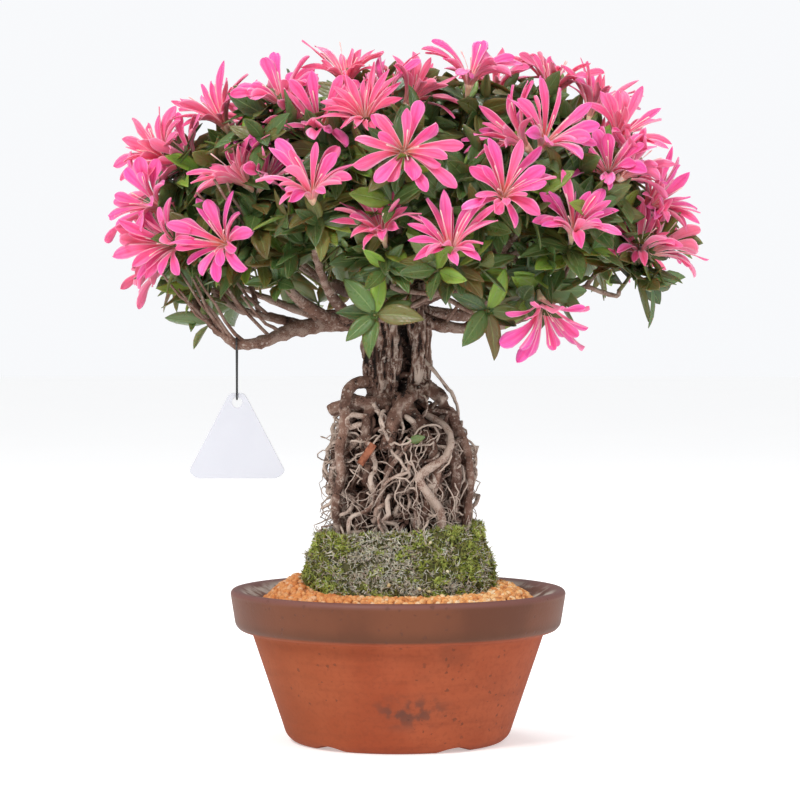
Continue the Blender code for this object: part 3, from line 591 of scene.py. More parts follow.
def grow_leaf(mass, drawn, draw, fine=True):
    """A leaf with a wavy edge and a groove along its midrib, or a small plain one with fewer stations."""
    fold = draw.uniform(0.05, 0.45)
    wave = draw.uniform(0.0, 0.5)
    phase = draw.uniform(0, 6)

    def lift(t, u, half):
        ripple = wave * math.sin(t * 9 + phase + (1.5 if u > 0 else 0)) * abs(u) ** 2
        groove = -0.16 * math.exp(-(u / 0.16) ** 2)
        return fold * abs(u) ** 1.4 * half + ripple * (half > 1) + groove * (half > 1)

    tone, kind = draw.random(), draw.random()
    blade(mass, drawn, leaf_half, lambda t: fold * 0.6, lift, LEAF_STATIONS if fine else SMALL_LEAF_STATIONS,
          LEAF_COLUMNS, LEAF_THICK, (tone, kind), draw.uniform(-0.08, 0.08), draw.uniform(-0.5, 0.5))


def grow_petal(mass, drawn, draw, tone, point):
    """A strap petal, guttered at its claw and cupped at its end, with a shallow channel along its middle."""
    cup = draw.uniform(-0.35, 0.75)
    gutter = draw.uniform(0.55, 1.1)
    wave = draw.uniform(0.1, 0.8)
    phase = draw.uniform(0, 6)

    def half_width(t, width):
        return petal_half(t, width, point)

    def lift(t, u, half):
        ripple = wave * math.sin(t * 8 + phase + u * 1.8) * t * t
        channel = (gutter * (1 - t) + cup * t) * u * u * half
        return channel + ripple - 0.3 * math.exp(-(u / 0.3) ** 2) * t * (1 - t) * 3

    blade(mass, drawn, half_width, lambda t: cup * 0.5 * t, lift, PETAL_STATIONS, PETAL_COLUMNS,
          PETAL_THICK, (tone, 0.0), draw.uniform(-0.2, 0.2), draw.uniform(-1.2, 1.2))


def shoot_at(number, t):
    """A point on a shoot's stem, from where it joins its twig at 0 to its tip at 1."""
    tip, facing, _ = SHOOTS[number]
    tip = Vector(tip)
    facing = Vector(facing).normalized()
    rising = (Vector((tip.x * 0.55, tip.y * 0.55, 0)) + UP * 55).normalized()
    foot_way = (facing * 0.6 + rising * 0.4).normalized()
    length = SHOOT_LENGTH * (0.8 if tip.z < 260 else 1.0)
    return tip - length * bent(facing, foot_way, 1 - t)


def bloom_axis(number, bloom):
    """The foot and the way of a bloom: a pair leans apart from one foot."""
    tip, facing, count = SHOOTS[number]
    facing = Vector(facing).normalized()
    foot = Vector(tip) + facing * GAP
    if count == 1:
        return foot, facing
    side = facing.cross(UP).normalized()
    lean = PAIR_LEAN if bloom == 0 else -PAIR_LEAN
    return foot, (facing * math.cos(lean) + side * math.sin(lean)).normalized()


def leaf_draw(number, leaf, attempt):
    """Where leaf number `leaf` of a shoot would stand: its root, ways, side, length and width."""
    draw = random.Random(f"shoot {number} leaf {leaf} try {attempt}")
    at_tip = leaf < LEAVES_AT_TIP
    share = draw.uniform(0.82, 0.93) if at_tip else 0.2 + 0.5 * (leaf - LEAVES_AT_TIP) / LEAVES_BELOW
    spot = shoot_at(number, share)
    axis = (shoot_at(number, 1) - shoot_at(number, 0)).normalized()
    step = math.radians(360 / LEAVES_AT_TIP) if at_tip else GOLDEN_TURN
    turn = leaf * step + number + draw.uniform(-0.45, 0.45)
    lean = draw.uniform(1.0, 1.5)
    out = leaning(axis, lean, turn)
    end = (leaning(axis, lean + draw.uniform(0.1, 0.6), turn) - UP * draw.uniform(0.0, 0.35)).normalized()
    side = out.cross(axis).normalized()
    length = draw.uniform(*LEAF_LENGTH) * (0.94 ** attempt) * (1.0 if at_tip else 0.88)
    return spot - out * 0.5, out, end, side, length, length * LEAF_WIDTH * draw.uniform(0.85, 1.1)


def petals_of(number):
    return PETALS if SHOOTS[number][2] == 1 else PETALS_IN_PAIR


def petal_stand(foot, facing, lean, end_lean, turn):
    """A petal's root, ways and side, from how far it leans out at its root and at its end."""
    out = leaning(facing, lean, turn)
    end = leaning(facing, end_lean, turn)
    side = out.cross(facing).normalized()
    return foot + facing * (THROAT - PETAL_SINK) + facing.cross(side) * PETAL_RING_R, out, end, side


def petal_draw(number, bloom, petal, attempt):
    """Where a petal would stand in its bloom."""
    draw = random.Random(f"shoot {number} bloom {bloom} petal {petal} try {attempt}")
    turn = math.tau * (petal + draw.uniform(-0.3, 0.3)) / petals_of(number) + number
    closing = 0.86 ** attempt
    stand = petal_stand(*bloom_axis(number, bloom), draw.uniform(0.25, 0.45) * closing,
                        draw.uniform(1.25, 1.75) * closing, turn)
    length = draw.uniform(*PETAL_LENGTH) * (0.95 ** attempt)
    return *stand, length, draw.uniform(*PETAL_WIDTH)


def place_on(drawn, t):
    root, way, end_way, _, length, _ = drawn
    return root + length * bent(way, end_way, t)


def marks_on(drawn, marks):
    """Points on a blade, each given by how far along it lies and how many widths to its side."""
    side, width = drawn[3], drawn[5]
    return [place_on(drawn, t) + side * width * off for t, off in marks]


def corners_of(node):
    mesh = frame["nodes"][node].data
    tree = kdtree.KDTree(len(mesh.vertices))
    for vert in mesh.vertices:
        tree.insert(vert.co / MM, vert.index)
    tree.balance()
    return tree


def grown(slots, draw_of, marks, node, number):
    """The draws that the node's solid was grown from, or the first ones where the shoot has no solid."""
    if number >= SOLID_SHOOTS:
        return [(slot, draw_of(*slot, 0)) for slot in slots]
    tree = corners_of(node)
    found = []
    for slot in slots:
        for attempt in range(DRAWS):
            drawn = draw_of(*slot, attempt)
            if sum(tree.find(mark)[2] < SAME for mark in marks_on(drawn, marks)) >= 2:
                found.append((slot, drawn))
                break
    return found


def more_petal_draw(number, bloom, petal, count):
    """A petal that the solids leave out, more upright than its neighbours."""
    draw = random.Random(f"shoot {number} bloom {bloom} inner petal {petal}")
    turn = math.tau * (petal + 0.5 + draw.uniform(-0.35, 0.35)) / count + number
    stand = petal_stand(*bloom_axis(number, bloom), draw.uniform(0.15, 0.35), draw.uniform(0.6, 1.6), turn)
    return *stand, draw.uniform(25, 39), draw.uniform(5, 9)


def inside_box(spot, spare=6.0):
    """Whether a point in millimetres stays in the solids' box, give or take the spare."""
    low, high = SOLIDS_BOX
    return all(low[i] / MM - spare < spot[i] < high[i] / MM + spare for i in range(3))


def socket(sockets, key):
    """The socket with this identifier, or else with this name."""
    for one in sockets:
        if one.identifier == key:
            return one
    return sockets[key]


def put(tree, kind, settings=None, inputs=None):
    """A new node with its settings, and its inputs either given a value or wired to a socket."""
    node = tree.nodes.new(kind)
    for key, value in (settings or {}).items():
        setattr(node, key, value)
    for key, value in (inputs or {}).items():
        target = socket(node.inputs, key)
        if isinstance(value, bpy.types.NodeSocket):
            tree.links.new(value, target)
        elif target.type == "RGBA":
            target.default_value = (*value[:3], 1)
        else:
            target.default_value = value
    return node


def mixed(tree, factor, a, b, way="MIX"):
    node = put(tree, "ShaderNodeMix", {"data_type": "RGBA", "blend_type": way},
               {"Factor_Float": factor, "A_Color": a, "B_Color": b})
    return socket(node.outputs, "Result_Color")


def calc(tree, operation, a, b=0.0, c=0.0):
    return put(tree, "ShaderNodeMath", {"operation": operation},
               {"Value": a, "Value_001": b, "Value_002": c}).outputs[0]


def times(tree, a, b):
    return calc(tree, "MULTIPLY", a, b)


def vector_calc(tree, operation, **inputs):
    return put(tree, "ShaderNodeVectorMath", {"operation": operation}, inputs).outputs


def axes_of(tree, vector):
    return put(tree, "ShaderNodeSeparateXYZ", inputs={"Vector": vector}).outputs


def stretched(tree, vector, scale):
    """Coordinates with each axis at its own scale."""
    return put(tree, "ShaderNodeMapping", inputs={"Vector": vector, "Scale": scale}).outputs[0]


def layered(tree, colour, *layers):
    """The colour with others laid over it, each given as (mask, colour)."""
    for mask, over in layers:
        colour = mixed(tree, mask, colour, over)
    return colour


def between(tree, value, low, high, to_low=0.0, to_high=1.0):
    """A value eased from low..high to to_low..to_high."""
    inputs = {"Value": value, "From Min": low, "From Max": high, "To Min": to_low, "To Max": to_high}
    return put(tree, "ShaderNodeMapRange", {"interpolation_type": "SMOOTHSTEP"}, inputs).outputs[0]


def cloud(tree, vector, scale, detail=3.0):
    inputs = {"Vector": vector, "Scale": scale, "Detail": detail}
    return put(tree, "ShaderNodeTexNoise", inputs=inputs).outputs[0]


def ramp(tree, factor, stops):
    node = put(tree, "ShaderNodeValToRGB", inputs={"Fac": factor})
    band = node.color_ramp
    band.elements[0].position, band.elements[1].position = stops[0][0], stops[-1][0]
    for position, _ in stops[1:-1]:
        band.elements.new(position)
    for element, (_, colour) in zip(band.elements, stops):
        element.color = (*colour, 1)
    return node.outputs["Color"]


def new_group(name, inputs, outputs):
    tree = bpy.data.node_groups.new(name, "ShaderNodeTree")
    for key, kind, value in inputs:
        made = tree.interface.new_socket(key, in_out="INPUT", socket_type=kind)
        if value is not None:
            made.default_value = value
    for key, kind in outputs:
        tree.interface.new_socket(key, in_out="OUTPUT", socket_type=kind)
    return tree, put(tree, "NodeGroupInput").outputs, put(tree, "NodeGroupOutput").inputs


def grain_group():
    """Unevenness at two sizes: a mask of broad patches, and a height with broad lumps and fine grit."""
    tree, given, result = new_group(
        "grain", (("Vector", "NodeSocketVector", None), ("Broad", "NodeSocketFloat", 40.0),
                  ("Fine", "NodeSocketFloat", 900.0), ("Fine share", "NodeSocketFloat", 0.4)),
        (("Patches", "NodeSocketFloat"), ("Height", "NodeSocketFloat")))
    broad = cloud(tree, given["Vector"], given["Broad"], 5.0)
    fine = cloud(tree, given["Vector"], given["Fine"])
    tree.links.new(between(tree, broad, 0.36, 0.64), result["Patches"])
    tree.links.new(calc(tree, "ADD", broad, times(tree, fine, given["Fine share"])), result["Height"])
    return tree


def specks_group():
    """Scattered small spots of uneven size."""
    tree, given, result = new_group(
        "specks", (("Vector", "NodeSocketVector", None), ("Scale", "NodeSocketFloat", 300.0),
                   ("Reach", "NodeSocketFloat", 0.25)), (("Mask", "NodeSocketFloat"),))
    cells = put(tree, "ShaderNodeTexVoronoi", inputs={"Vector": given["Vector"], "Scale": given["Scale"]})
    chance = put(tree, "ShaderNodeSeparateColor", inputs={"Color": cells.outputs["Color"]}).outputs[0]
    edge = calc(tree, "SUBTRACT", times(tree, chance, given["Reach"]), cells.outputs["Distance"])
    tree.links.new(between(tree, edge, 0.0, 0.06), result["Mask"])
    return tree


def blade_group():
    """Where a point lies on a leaf or petal: along it, near its edge, on its midrib, on a side vein."""
    tree, given, result = new_group(
        "blade_lines", (("Veins", "NodeSocketFloat", 8.0), ("Slope", "NodeSocketFloat", 2.0),
                        ("Midrib", "NodeSocketFloat", 0.1)),
        (("Along", "NodeSocketFloat"), ("Edge", "NodeSocketFloat"), ("Midrib", "NodeSocketFloat"),
         ("Vein", "NodeSocketFloat"), ("Streak", "NodeSocketFloat")))
    place = axes_of(tree, put(tree, "ShaderNodeTexCoord").outputs["UV"])
    along = place["Y"]
    off = calc(tree, "ABSOLUTE", calc(tree, "MULTIPLY_ADD", place["X"], 2.0, -1.0))
    beat = calc(tree, "SUBTRACT", times(tree, along, given["Veins"]), times(tree, off, given["Slope"]))
    swing = calc(tree, "SINE", times(tree, beat, math.tau))
    drawn_out = put(tree, "ShaderNodeCombineXYZ",
                    inputs={"X": times(tree, place["X"], 9.0), "Y": times(tree, along, 1.4)}).outputs[0]
    tree.links.new(along, result["Along"])
    tree.links.new(between(tree, off, 0.72, 1.0), result["Edge"])
    tree.links.new(between(tree, off, 0.0, given["Midrib"], 1.0, 0.0), result["Midrib"])
    tree.links.new(between(tree, swing, 0.72, 1.0), result["Vein"])
    tree.links.new(cloud(tree, drawn_out, 2.2), result["Streak"])
    return tree


GRAIN = grain_group()
SPECKS = specks_group()
BLADE_LINES = blade_group()


def finish_of(name, **values):
    """A material with constant shader values, its node tree and its object coordinates."""
    made = bpy.data.materials.new(name)
    made.use_nodes = True
    tree = made.node_tree
    for key, value in values.items():
        tree.nodes["Principled BSDF"].inputs[key.replace("_", " ")].default_value = value
    return made, tree, put(tree, "ShaderNodeTexCoord").outputs["Object"]


def finished(made, colour, relief=None, roughness=None):
    """The material with its colour wired in, and its relief (height, strength, depth) and roughness."""
    tree = made.node_tree
    shader = tree.nodes["Principled BSDF"]
    tree.links.new(colour, shader.inputs["Base Color"])
    if relief is not None:
        height, strength, depth = relief
        bump = put(tree, "ShaderNodeBump", inputs={"Height": height, "Strength": strength, "Distance": depth})
        tree.links.new(bump.outputs["Normal"], shader.inputs["Normal"])
    if roughness is not None:
        tree.links.new(roughness, shader.inputs["Roughness"])
    return made


def tint_of(tree):
    """The piece's tint attribute, as its tone, mark and side."""
    attribute = put(tree, "ShaderNodeAttribute", {"attribute_name": "tint"})
    return put(tree, "ShaderNodeSeparateColor", inputs={"Color": attribute.outputs["Color"]}).outputs


def tone_of(tree):
    return put(tree, "ShaderNodeAttribute", {"attribute_name": "tone"}).outputs["Fac"]


def grained(tree, vector, broad, fine, share):
    return put(tree, "ShaderNodeGroup", {"node_tree": GRAIN},
               {"Vector": vector, "Broad": broad, "Fine": fine, "Fine share": share}).outputs


def speckled(tree, vector, scale, reach):
    return put(tree, "ShaderNodeGroup", {"node_tree": SPECKS},
               {"Vector": vector, "Scale": scale, "Reach": reach}).outputs["Mask"]


def blade_lines(tree, veins, slope, midrib):
    return put(tree, "ShaderNodeGroup", {"node_tree": BLADE_LINES},
               {"Veins": veins, "Slope": slope, "Midrib": midrib}).outputs


def clay_body(tree, spot, grain, rings):
    """The body's orange clay: turning marks, smudges, a stain in front, a mottle, a tint at the left."""
    squat = stretched(tree, spot, (1, 1, STAIN_SQUAT))
    from_stain = vector_calc(tree, "DISTANCE", Vector=squat, Vector_001=STAIN)["Value"]
    stain = times(tree, between(tree, from_stain, 0.030, 0.004),
                  between(tree, cloud(tree, spot, 150.0, 8.0), 0.44, 0.62, 0.1, 0.8))
    return layered(
        tree, mixed(tree, grain["Patches"], (0.285, 0.055, 0.019), (0.35, 0.080, 0.031)),
        (between(tree, rings, 0.45, 0.75, 0.0, 0.4), (0.21, 0.044, 0.017)),
        (between(tree, cloud(tree, spot, 17.0, 4.0), 0.60, 0.74, 0.0, 0.45), (0.13, 0.038, 0.020)),
        (stain, (0.085, 0.040, 0.030)),
        (between(tree, cloud(tree, spot, 420.0, 6.0), 0.45, 0.7, 0.0, 0.3), (0.19, 0.040, 0.016)),
        (between(tree, axes_of(tree, spot)["X"], -0.075, 0.0, 0.5, 0.0), (0.25, 0.066, 0.018)))


def clay_band(tree, height, grain):
    """The darker band round the rim, darkest at its foot and paler on its lip."""
    low = between(tree, height, BAND_FOOT_Z * MM, BAND_FOOT_Z * MM + 0.006, 0.45, 0.0)
    lip = between(tree, height, POT_HEIGHT * MM - 0.004, POT_HEIGHT * MM - 0.0006)
    return layered(tree, mixed(tree, grain["Patches"], (0.108, 0.032, 0.013), (0.150, 0.046, 0.019)),
                   (low, (0.085, 0.030, 0.012)), (times(tree, lip, 0.8), (0.19, 0.080, 0.070)))


def clay_pits(tree, spot, grain):
    """A mask for small pits with torn edges."""
    stray = put(tree, "ShaderNodeTexNoise", inputs={"Vector": spot, "Scale": 700.0}).outputs["Color"]
    reach = (0.003, 0.003, 0.002)
    torn = vector_calc(tree, "MULTIPLY_ADD", Vector=stray, Vector_001=reach, Vector_002=spot)[0]
    return times(tree, speckled(tree, torn, 260.0, 0.30), between(tree, grain["Patches"], 0.2, 0.9))


def lime_mask(tree, spot, is_band):
    """A mask for the lime that lies inside the lip."""
    place = axes_of(tree, spot)
    flat = put(tree, "ShaderNodeCombineXYZ", inputs={"X": place["X"], "Y": place["Y"]}).outputs[0]
    out = vector_calc(tree, "LENGTH", Vector=flat)["Value"]
    inside = between(tree, out, LIP_R * MM + 0.0015, LIP_R * MM - 0.003)
    return times(tree, times(tree, between(tree, cloud(tree, spot, 70.0, 8.0), 0.44, 0.60), inside), is_band)


def terracotta_finish():
    """Unglazed orange clay below, a darker band with a slight glaze above, lime on the inner lip."""
    made, tree, spot = finish_of("terracotta_clay", Specular_IOR_Level=0.28)
    height = axes_of(tree, spot)["Z"]
    grain = grained(tree, spot, 22.0, 620.0, 0.35)
    rings = cloud(tree, stretched(tree, spot, (0.18, 0.18, 2.2)), 90.0)
    is_band = between(tree, height, (BODY_TOP_Z + 1.2) * MM, (BAND_FOOT_Z - 1.0) * MM)
    pits = clay_pits(tree, spot, grain)
    lime = lime_mask(tree, spot, is_band)
    colour = layered(
        tree, mixed(tree, is_band, clay_body(tree, spot, grain, rings), clay_band(tree, height, grain)),
        (times(tree, pits, 0.55), (0.10, 0.035, 0.02)), (times(tree, lime, 0.75), (0.60, 0.55, 0.50)))
    rough = calc(tree, "ADD", between(tree, is_band, 0.0, 1.0, 0.84, 0.54), times(tree, lime, 0.35))
    raised = calc(tree, "ADD", grain["Height"], times(tree, rings, 0.5))
    relief = calc(tree, "SUBTRACT", raised, times(tree, pits, 0.8))
    return finished(made, colour, (relief, 0.55, 0.0006), rough)


def grit_finish(name):
    """Fired clay grains, each of its own tone, dusty and finely pitted."""
    made, tree, spot = finish_of(name, Roughness=0.92, Specular_IOR_Level=0.3)
    grain = grained(tree, spot, 300.0, 2400.0, 0.6)
    colour = layered(
        tree, ramp(tree, tone_of(tree), TONES[name]),
        (times(tree, grain["Patches"], 0.2), (0.90, 0.62, 0.38)),
        (times(tree, speckled(tree, spot, 900.0, 0.4), 0.5), (0.28, 0.12, 0.05)),
        (between(tree, axes_of(tree, spot)["X"], -0.06, 0.04, 0.5, 0.0), (0.60, 0.19, 0.055)))
    return finished(made, colour, (grain["Height"], 0.7, 0.0004))


def moss_finish(name):
    """Moss threads or the felt under them, in patches of green and brown."""
    made, tree, spot = finish_of(name, Roughness=0.85, Specular_IOR_Level=0.3,
                                 Subsurface_Weight=0.12, Subsurface_Scale=0.001)
    grain = grained(tree, spot, 120.0, 1600.0, 0.8)
    own = calc(tree, "ADD", times(tree, tone_of(tree), 0.62), times(tree, cloud(tree, spot, 45.0, 2.0), 0.5))
    stops = TONES[name]
    colour = mixed(tree, times(tree, grain["Patches"], 0.25), ramp(tree, own, stops), stops[0][1])
    return finished(made, colour, (grain["Height"], 0.8, 0.0006))


def bark_finish():
    """Brown bark, flecked: painted shade near-black in its clefts and root mass, grey-beige ridges as wear
    and painted highlight.
    """
    made, tree, spot = finish_of("azalea_bark", Roughness=0.86, Specular_IOR_Level=0.3)
    tone, wear_and_light, _ = tint_of(tree)
    grain = grained(tree, spot, 160.0, 1500.0, 0.7)
    ridge = calc(tree, "ADD", wear_and_light, between(tree, grain["Height"], 0.5, 0.95, -0.25, 0.22))
    colour = layered(
        tree, mixed(tree, tone, (0.085, 0.042, 0.030), (0.20, 0.108, 0.078)),
        # Grey-beige on the ridges: wear and painted highlight
        (between(tree, ridge, 0.50, 0.98), (0.50, 0.395, 0.33)),
        # Near-black in the clefts and deep in the root mass: painted shade
        (between(tree, ridge, 0.44, 0.12), (0.012, 0.007, 0.005)),
        (times(tree, speckled(tree, spot, 420.0, 0.36), 0.4), (0.54, 0.47, 0.41)))
    return finished(made, colour, (grain["Height"], 0.9, 0.0009))


def leaf_finish():
    """Thin leaves: a pale midrib, faint side veins, green, olive and lime ones, paler beneath."""
    made, tree, spot = finish_of("azalea_leaf", Specular_IOR_Level=0.45, Subsurface_Weight=0.25,
                                 Subsurface_Scale=0.0012)
    tone, kind, beneath = tint_of(tree)
    lines = blade_lines(tree, 7.0, 2.1, 0.11)
    colour = layered(
        tree, mixed(tree, tone, (0.022, 0.060, 0.014), (0.085, 0.165, 0.034)),
        (between(tree, kind, 0.62, 0.76, 0.25, 0.92), ramp(tree, kind, TONES["leaf_kinds"])),
        (times(tree, lines["Streak"], 0.25), (0.13, 0.19, 0.07)),
        (times(tree, lines["Vein"], 0.15), (0.16, 0.24, 0.07)),
        (times(tree, lines["Midrib"], 0.45), (0.26, 0.33, 0.12)),
        (times(tree, lines["Edge"], 0.2), (0.11, 0.06, 0.02)),
        (times(tree, beneath, 0.5), (0.15, 0.21, 0.08)))
    patches = cloud(tree, spot, 260.0, 4.0)
    sunk = calc(tree, "ADD", lines["Midrib"], times(tree, lines["Vein"], 0.5))
    relief = calc(tree, "SUBTRACT", times(tree, patches, 0.35), sunk)
    return finished(made, colour, (relief, 0.5, 0.0003), between(tree, patches, 0.3, 0.7, 0.26, 0.48))


def petal_finish():
    """Silky petals: cream and salmon at the throat, hot pink along the strap, pale at the rim."""
    made, tree, spot = finish_of(
        "azalea_petal", Specular_IOR_Level=0.4, Subsurface_Weight=0.35, Subsurface_Scale=0.002,
        Subsurface_Radius=(1.0, 0.35, 0.4), Sheen_Weight=0.25, Sheen_Roughness=0.4,
        Sheen_Tint=(1.0, 0.75, 0.95, 1))
    tone, pale, beneath = tint_of(tree)
    lines = blade_lines(tree, 5.0, 0.6, 0.22)
    along = lines["Along"]
    # Each petal's tone runs from salmon to lilac; the lilac is partly a painted sheen
    warm = mixed(tree, tone, (0.93, 0.15, 0.21), (0.80, 0.075, 0.42))
    colour = layered(
        tree, ramp(tree, along, TONES["petal_strap"]),
        (between(tree, along, 0.2, 0.6, 0.0, 0.55), warm),
        (between(tree, lines["Streak"], 0.45, 0.75, 0.0, 0.42), (0.95, 0.32, 0.50)),
        (times(tree, lines["Edge"], between(tree, along, 0.45, 0.85, 0.85, 0.22)), (0.97, 0.66, 0.68)),
        (times(tree, lines["Midrib"], 0.35), (0.78, 0.03, 0.14)),
        (times(tree, beneath, 0.4), (0.90, 0.30, 0.36)),
        (pale, (0.93, 0.72, 0.66)))
    relief = calc(tree, "ADD", lines["Streak"], times(tree, lines["Midrib"], -0.6))
    rough = between(tree, cloud(tree, spot, 320.0), 0.3, 0.7, 0.36, 0.52)
    return finished(made, colour, (relief, 0.35, 0.0004), rough)


def flake_finish():
    """Dry red-brown bark, streaked."""
    made, tree, spot = finish_of("dry_flake", Roughness=0.8, Specular_IOR_Level=0.3)
    grain = grained(tree, spot, 400.0, 1600.0, 0.6)
    colour = mixed(tree, grain["Patches"], (0.13, 0.036, 0.018), (0.30, 0.105, 0.055))
    return finished(made, colour, (grain["Height"], 0.6, 0.0005))


def card_finish():
    """Plain white card, faintly fibrous."""
    made, tree, spot = finish_of("plain_card", Roughness=0.42, Specular_IOR_Level=0.4)
    grain = grained(tree, spot, 60.0, 1400.0, 0.5)
    colour = mixed(tree, times(tree, grain["Patches"], 0.25), (0.57, 0.58, 0.63), (0.52, 0.53, 0.59))
    return finished(made, colour, (grain["Height"], 0.15, 0.0002))


def wire_finish():
    """Black coated wire, scuffed here and there."""
    made, tree, spot = finish_of("black_wire", Specular_IOR_Level=0.5)
    scuffs = cloud(tree, spot, 900.0)
    colour = mixed(tree, between(tree, scuffs, 0.5, 0.7, 0.0, 0.6), (0.012, 0.012, 0.013),
                   (0.09, 0.085, 0.08))
    return finished(made, colour, roughness=between(tree, scuffs, 0.3, 0.7, 0.35, 0.6))


def scaled(tree, vector, factor):
    return vector_calc(tree, "SCALE", Vector=vector, Scale=factor)[0]


def random_vector(tree, **inputs):
    return put(tree, "FunctionNodeRandomValue", {"data_type": "FLOAT_VECTOR"}, inputs).outputs[0]


def random_number(tree, **inputs):
    node = put(tree, "FunctionNodeRandomValue", {"data_type": "FLOAT"}, inputs)
    return socket(node.outputs, "Value_001")


def scatter_tree():
    """Shapes strewn over a surface, turned and sized at random, each with its own tone."""
    tree = bpy.data.node_groups.new("scatter", "GeometryNodeTree")
    for key, kind in SCATTER_INPUTS:
        tree.interface.new_socket(key, in_out="INPUT", socket_type="NodeSocket" + kind)
    tree.interface.new_socket("Result", in_out="OUTPUT", socket_type="NodeSocketGeometry")
    given = put(tree, "NodeGroupInput").outputs
    seed = given["Seed"]
    share = put(tree, "GeometryNodeInputNamedAttribute", {"data_type": "FLOAT"}, {"Name": "share"}).outputs[0]
    density = times(tree, given["Density"], share)
    spots = put(tree, "GeometryNodeDistributePointsOnFaces", {"distribute_method": "RANDOM"},
                {"Mesh": given["Surface"], "Density": density, "Seed": seed}).outputs
    tilt = put(tree, "ShaderNodeCombineXYZ",
               inputs={"X": given["Tilt"], "Y": given["Tilt"], "Z": math.pi}).outputs[0]
    turn = random_vector(tree, Min=scaled(tree, tilt, -1.0), Max=tilt, Seed=seed)
    turn = put(tree, "FunctionNodeEulerToRotation", inputs={"Euler": turn}).outputs[0]
    turn = put(tree, "FunctionNodeRotateRotation", {"rotation_space": "LOCAL"},
               {"Rotation": spots["Rotation"], "Rotate By": turn}).outputs[0]
    size = random_number(tree, Min_001=given["Smallest"], Max_001=given["Largest"], Seed=seed)
    squash = random_vector(tree, Min=(0.8, 0.8, 0.75), Max=(1.2, 1.2, 1.1), Seed=SQUASH_SEED)
    shapes = put(tree, "GeometryNodeCollectionInfo",
                 inputs={"Collection": given["Shapes"], "Separate Children": True, "Reset Children": True})
    placed = put(tree, "GeometryNodeInstanceOnPoints",
                 inputs={"Points": spots["Points"], "Instance": shapes.outputs[0], "Pick Instance": True,
                         "Rotation": turn, "Scale": scaled(tree, squash, size)})
    toned = put(tree, "GeometryNodeStoreNamedAttribute", {"data_type": "FLOAT", "domain": "INSTANCE"},
                {"Geometry": placed.outputs[0], "Name": "tone", "Value": random_number(tree, Seed=TONE_SEED)})
    whole = put(tree, "GeometryNodeRealizeInstances", inputs={"Geometry": toned.outputs[0]})
    done = put(tree, "GeometryNodeSetMaterial",
               inputs={"Geometry": whole.outputs[0], "Material": given["Finish"]})
    tree.links.new(done.outputs[0], put(tree, "NodeGroupOutput").inputs["Result"])
    return tree


SCATTER = scatter_tree()


def strewn(name, surface, shapes, finish, slot, node, **values):
    """A piece of shapes strewn over a surface mesh, which carries a share attribute for where they stand."""
    obj = linked(bpy.data.objects.new(name + "_ground", surface))
    modifier = obj.modifiers.new("strew", "NODES")
    modifier.node_group = SCATTER
    values = {"Shapes": shapes, "Finish": finish, **values}
    for item in SCATTER.interface.items_tree:
        if item.in_out == "INPUT" and item.name in values:
            modifier[item.identifier] = values[item.name]
    made = plain_mesh(obj, name)
    made.data.shade_smooth()
    kept(made, finish, slot, node)


def shape_set(name, shapes):
    """A collection of small mesh shapes for strewing, kept out of the scene."""
    made = bpy.data.collections.new(name)
    for number, (points, faces) in enumerate(shapes):
        label = f"{name}_{number}"
        made.objects.link(bpy.data.objects.new(label, mesh_of(label, points, faces)))
    return made


def lumpy_grain(seed):
    """A rounded grain about 1 mm in radius, of 24 faces."""
    shape = bmesh.new()
    bmesh.ops.create_cube(shape, size=2)
    bmesh.ops.subdivide_edges(shape, edges=shape.edges, cuts=1, use_grid_fill=True)
    points = []
    for vert in shape.verts:
        way = vert.co.normalized()
        points.append(way * (0.95 + 0.38 * noise.noise(way * 1.7 + Vector((seed * 3.1, 0, 0)))))
    faces = [tuple(v.index for v in face.verts) for face in shape.faces]
    shape.free()
    return points, faces


def moss_tuft(seed, blades, length, thick, curl):
    """A few thin curled threads from one foot."""
    draw = random.Random(f"tuft {seed}")
    points, faces = [], []
    for _ in range(blades):
        turn = draw.uniform(0, math.tau)
        lean = draw.uniform(0.1, 1.1)
        way = Vector((math.cos(turn) * math.sin(lean), math.sin(turn) * math.sin(lean), math.cos(lean)))
        bend = Vector((draw.uniform(-1, 1), draw.uniform(-1, 1), draw.uniform(-1, 0.6))) * curl
        foot = Vector((draw.uniform(-0.4, 0.4), draw.uniform(-0.4, 0.4), -0.4))
        side, other = across(way)
        first = len(points)
        for step, girth in ((0.0, 1.0), (0.55, 0.8)):
            middle = foot + way * length * step + bend * length * step * step
            points += [middle + (side * math.cos(a) + other * math.sin(a)) * thick * girth
                       for a in (0, math.tau / 3, 2 * math.tau / 3)]
        points.append(foot + way * length * 0.95 + bend * length)
        for s in range(3):
            a, b = first + s, first + (s + 1) % 3
            faces += [(a, b, b + 3, a + 3), (a + 3, b + 3, first + 6)]
        faces.append((first + 2, first + 1, first))
    return points, faces


def turned(name, profile, sides, wobble=0.0):
    """A closed turned mesh from (radius, z) points that start and end on the axis."""
    inner = profile[1:-1]
    points = []
    for s in range(sides):
        out = heading(math.tau * s / sides)
        for r, z in inner:
            r += wobble * noise.noise(out * 1.6 + UP * z * 0.02)
            points.append(out * r + UP * z)
    points += [UP * profile[0][1], UP * profile[-1][1]]
    rows = len(inner)
    start, end = len(points) - 2, len(points) - 1
    faces = []
    for s in range(sides):
        a, b = s * rows, (s + 1) % sides * rows
        faces += [(a + i, a + i + 1, b + i + 1, b + i) for i in range(rows - 1)]
        faces += [(start, a, b), (a + rows - 1, end, b + rows - 1)]
    mesh = reworked(mesh_of(name, points, faces),
                    lambda shape: bmesh.ops.recalc_face_normals(shape, faces=shape.faces))
    mesh.shade_smooth()
    return linked(bpy.data.objects.new(name, mesh))


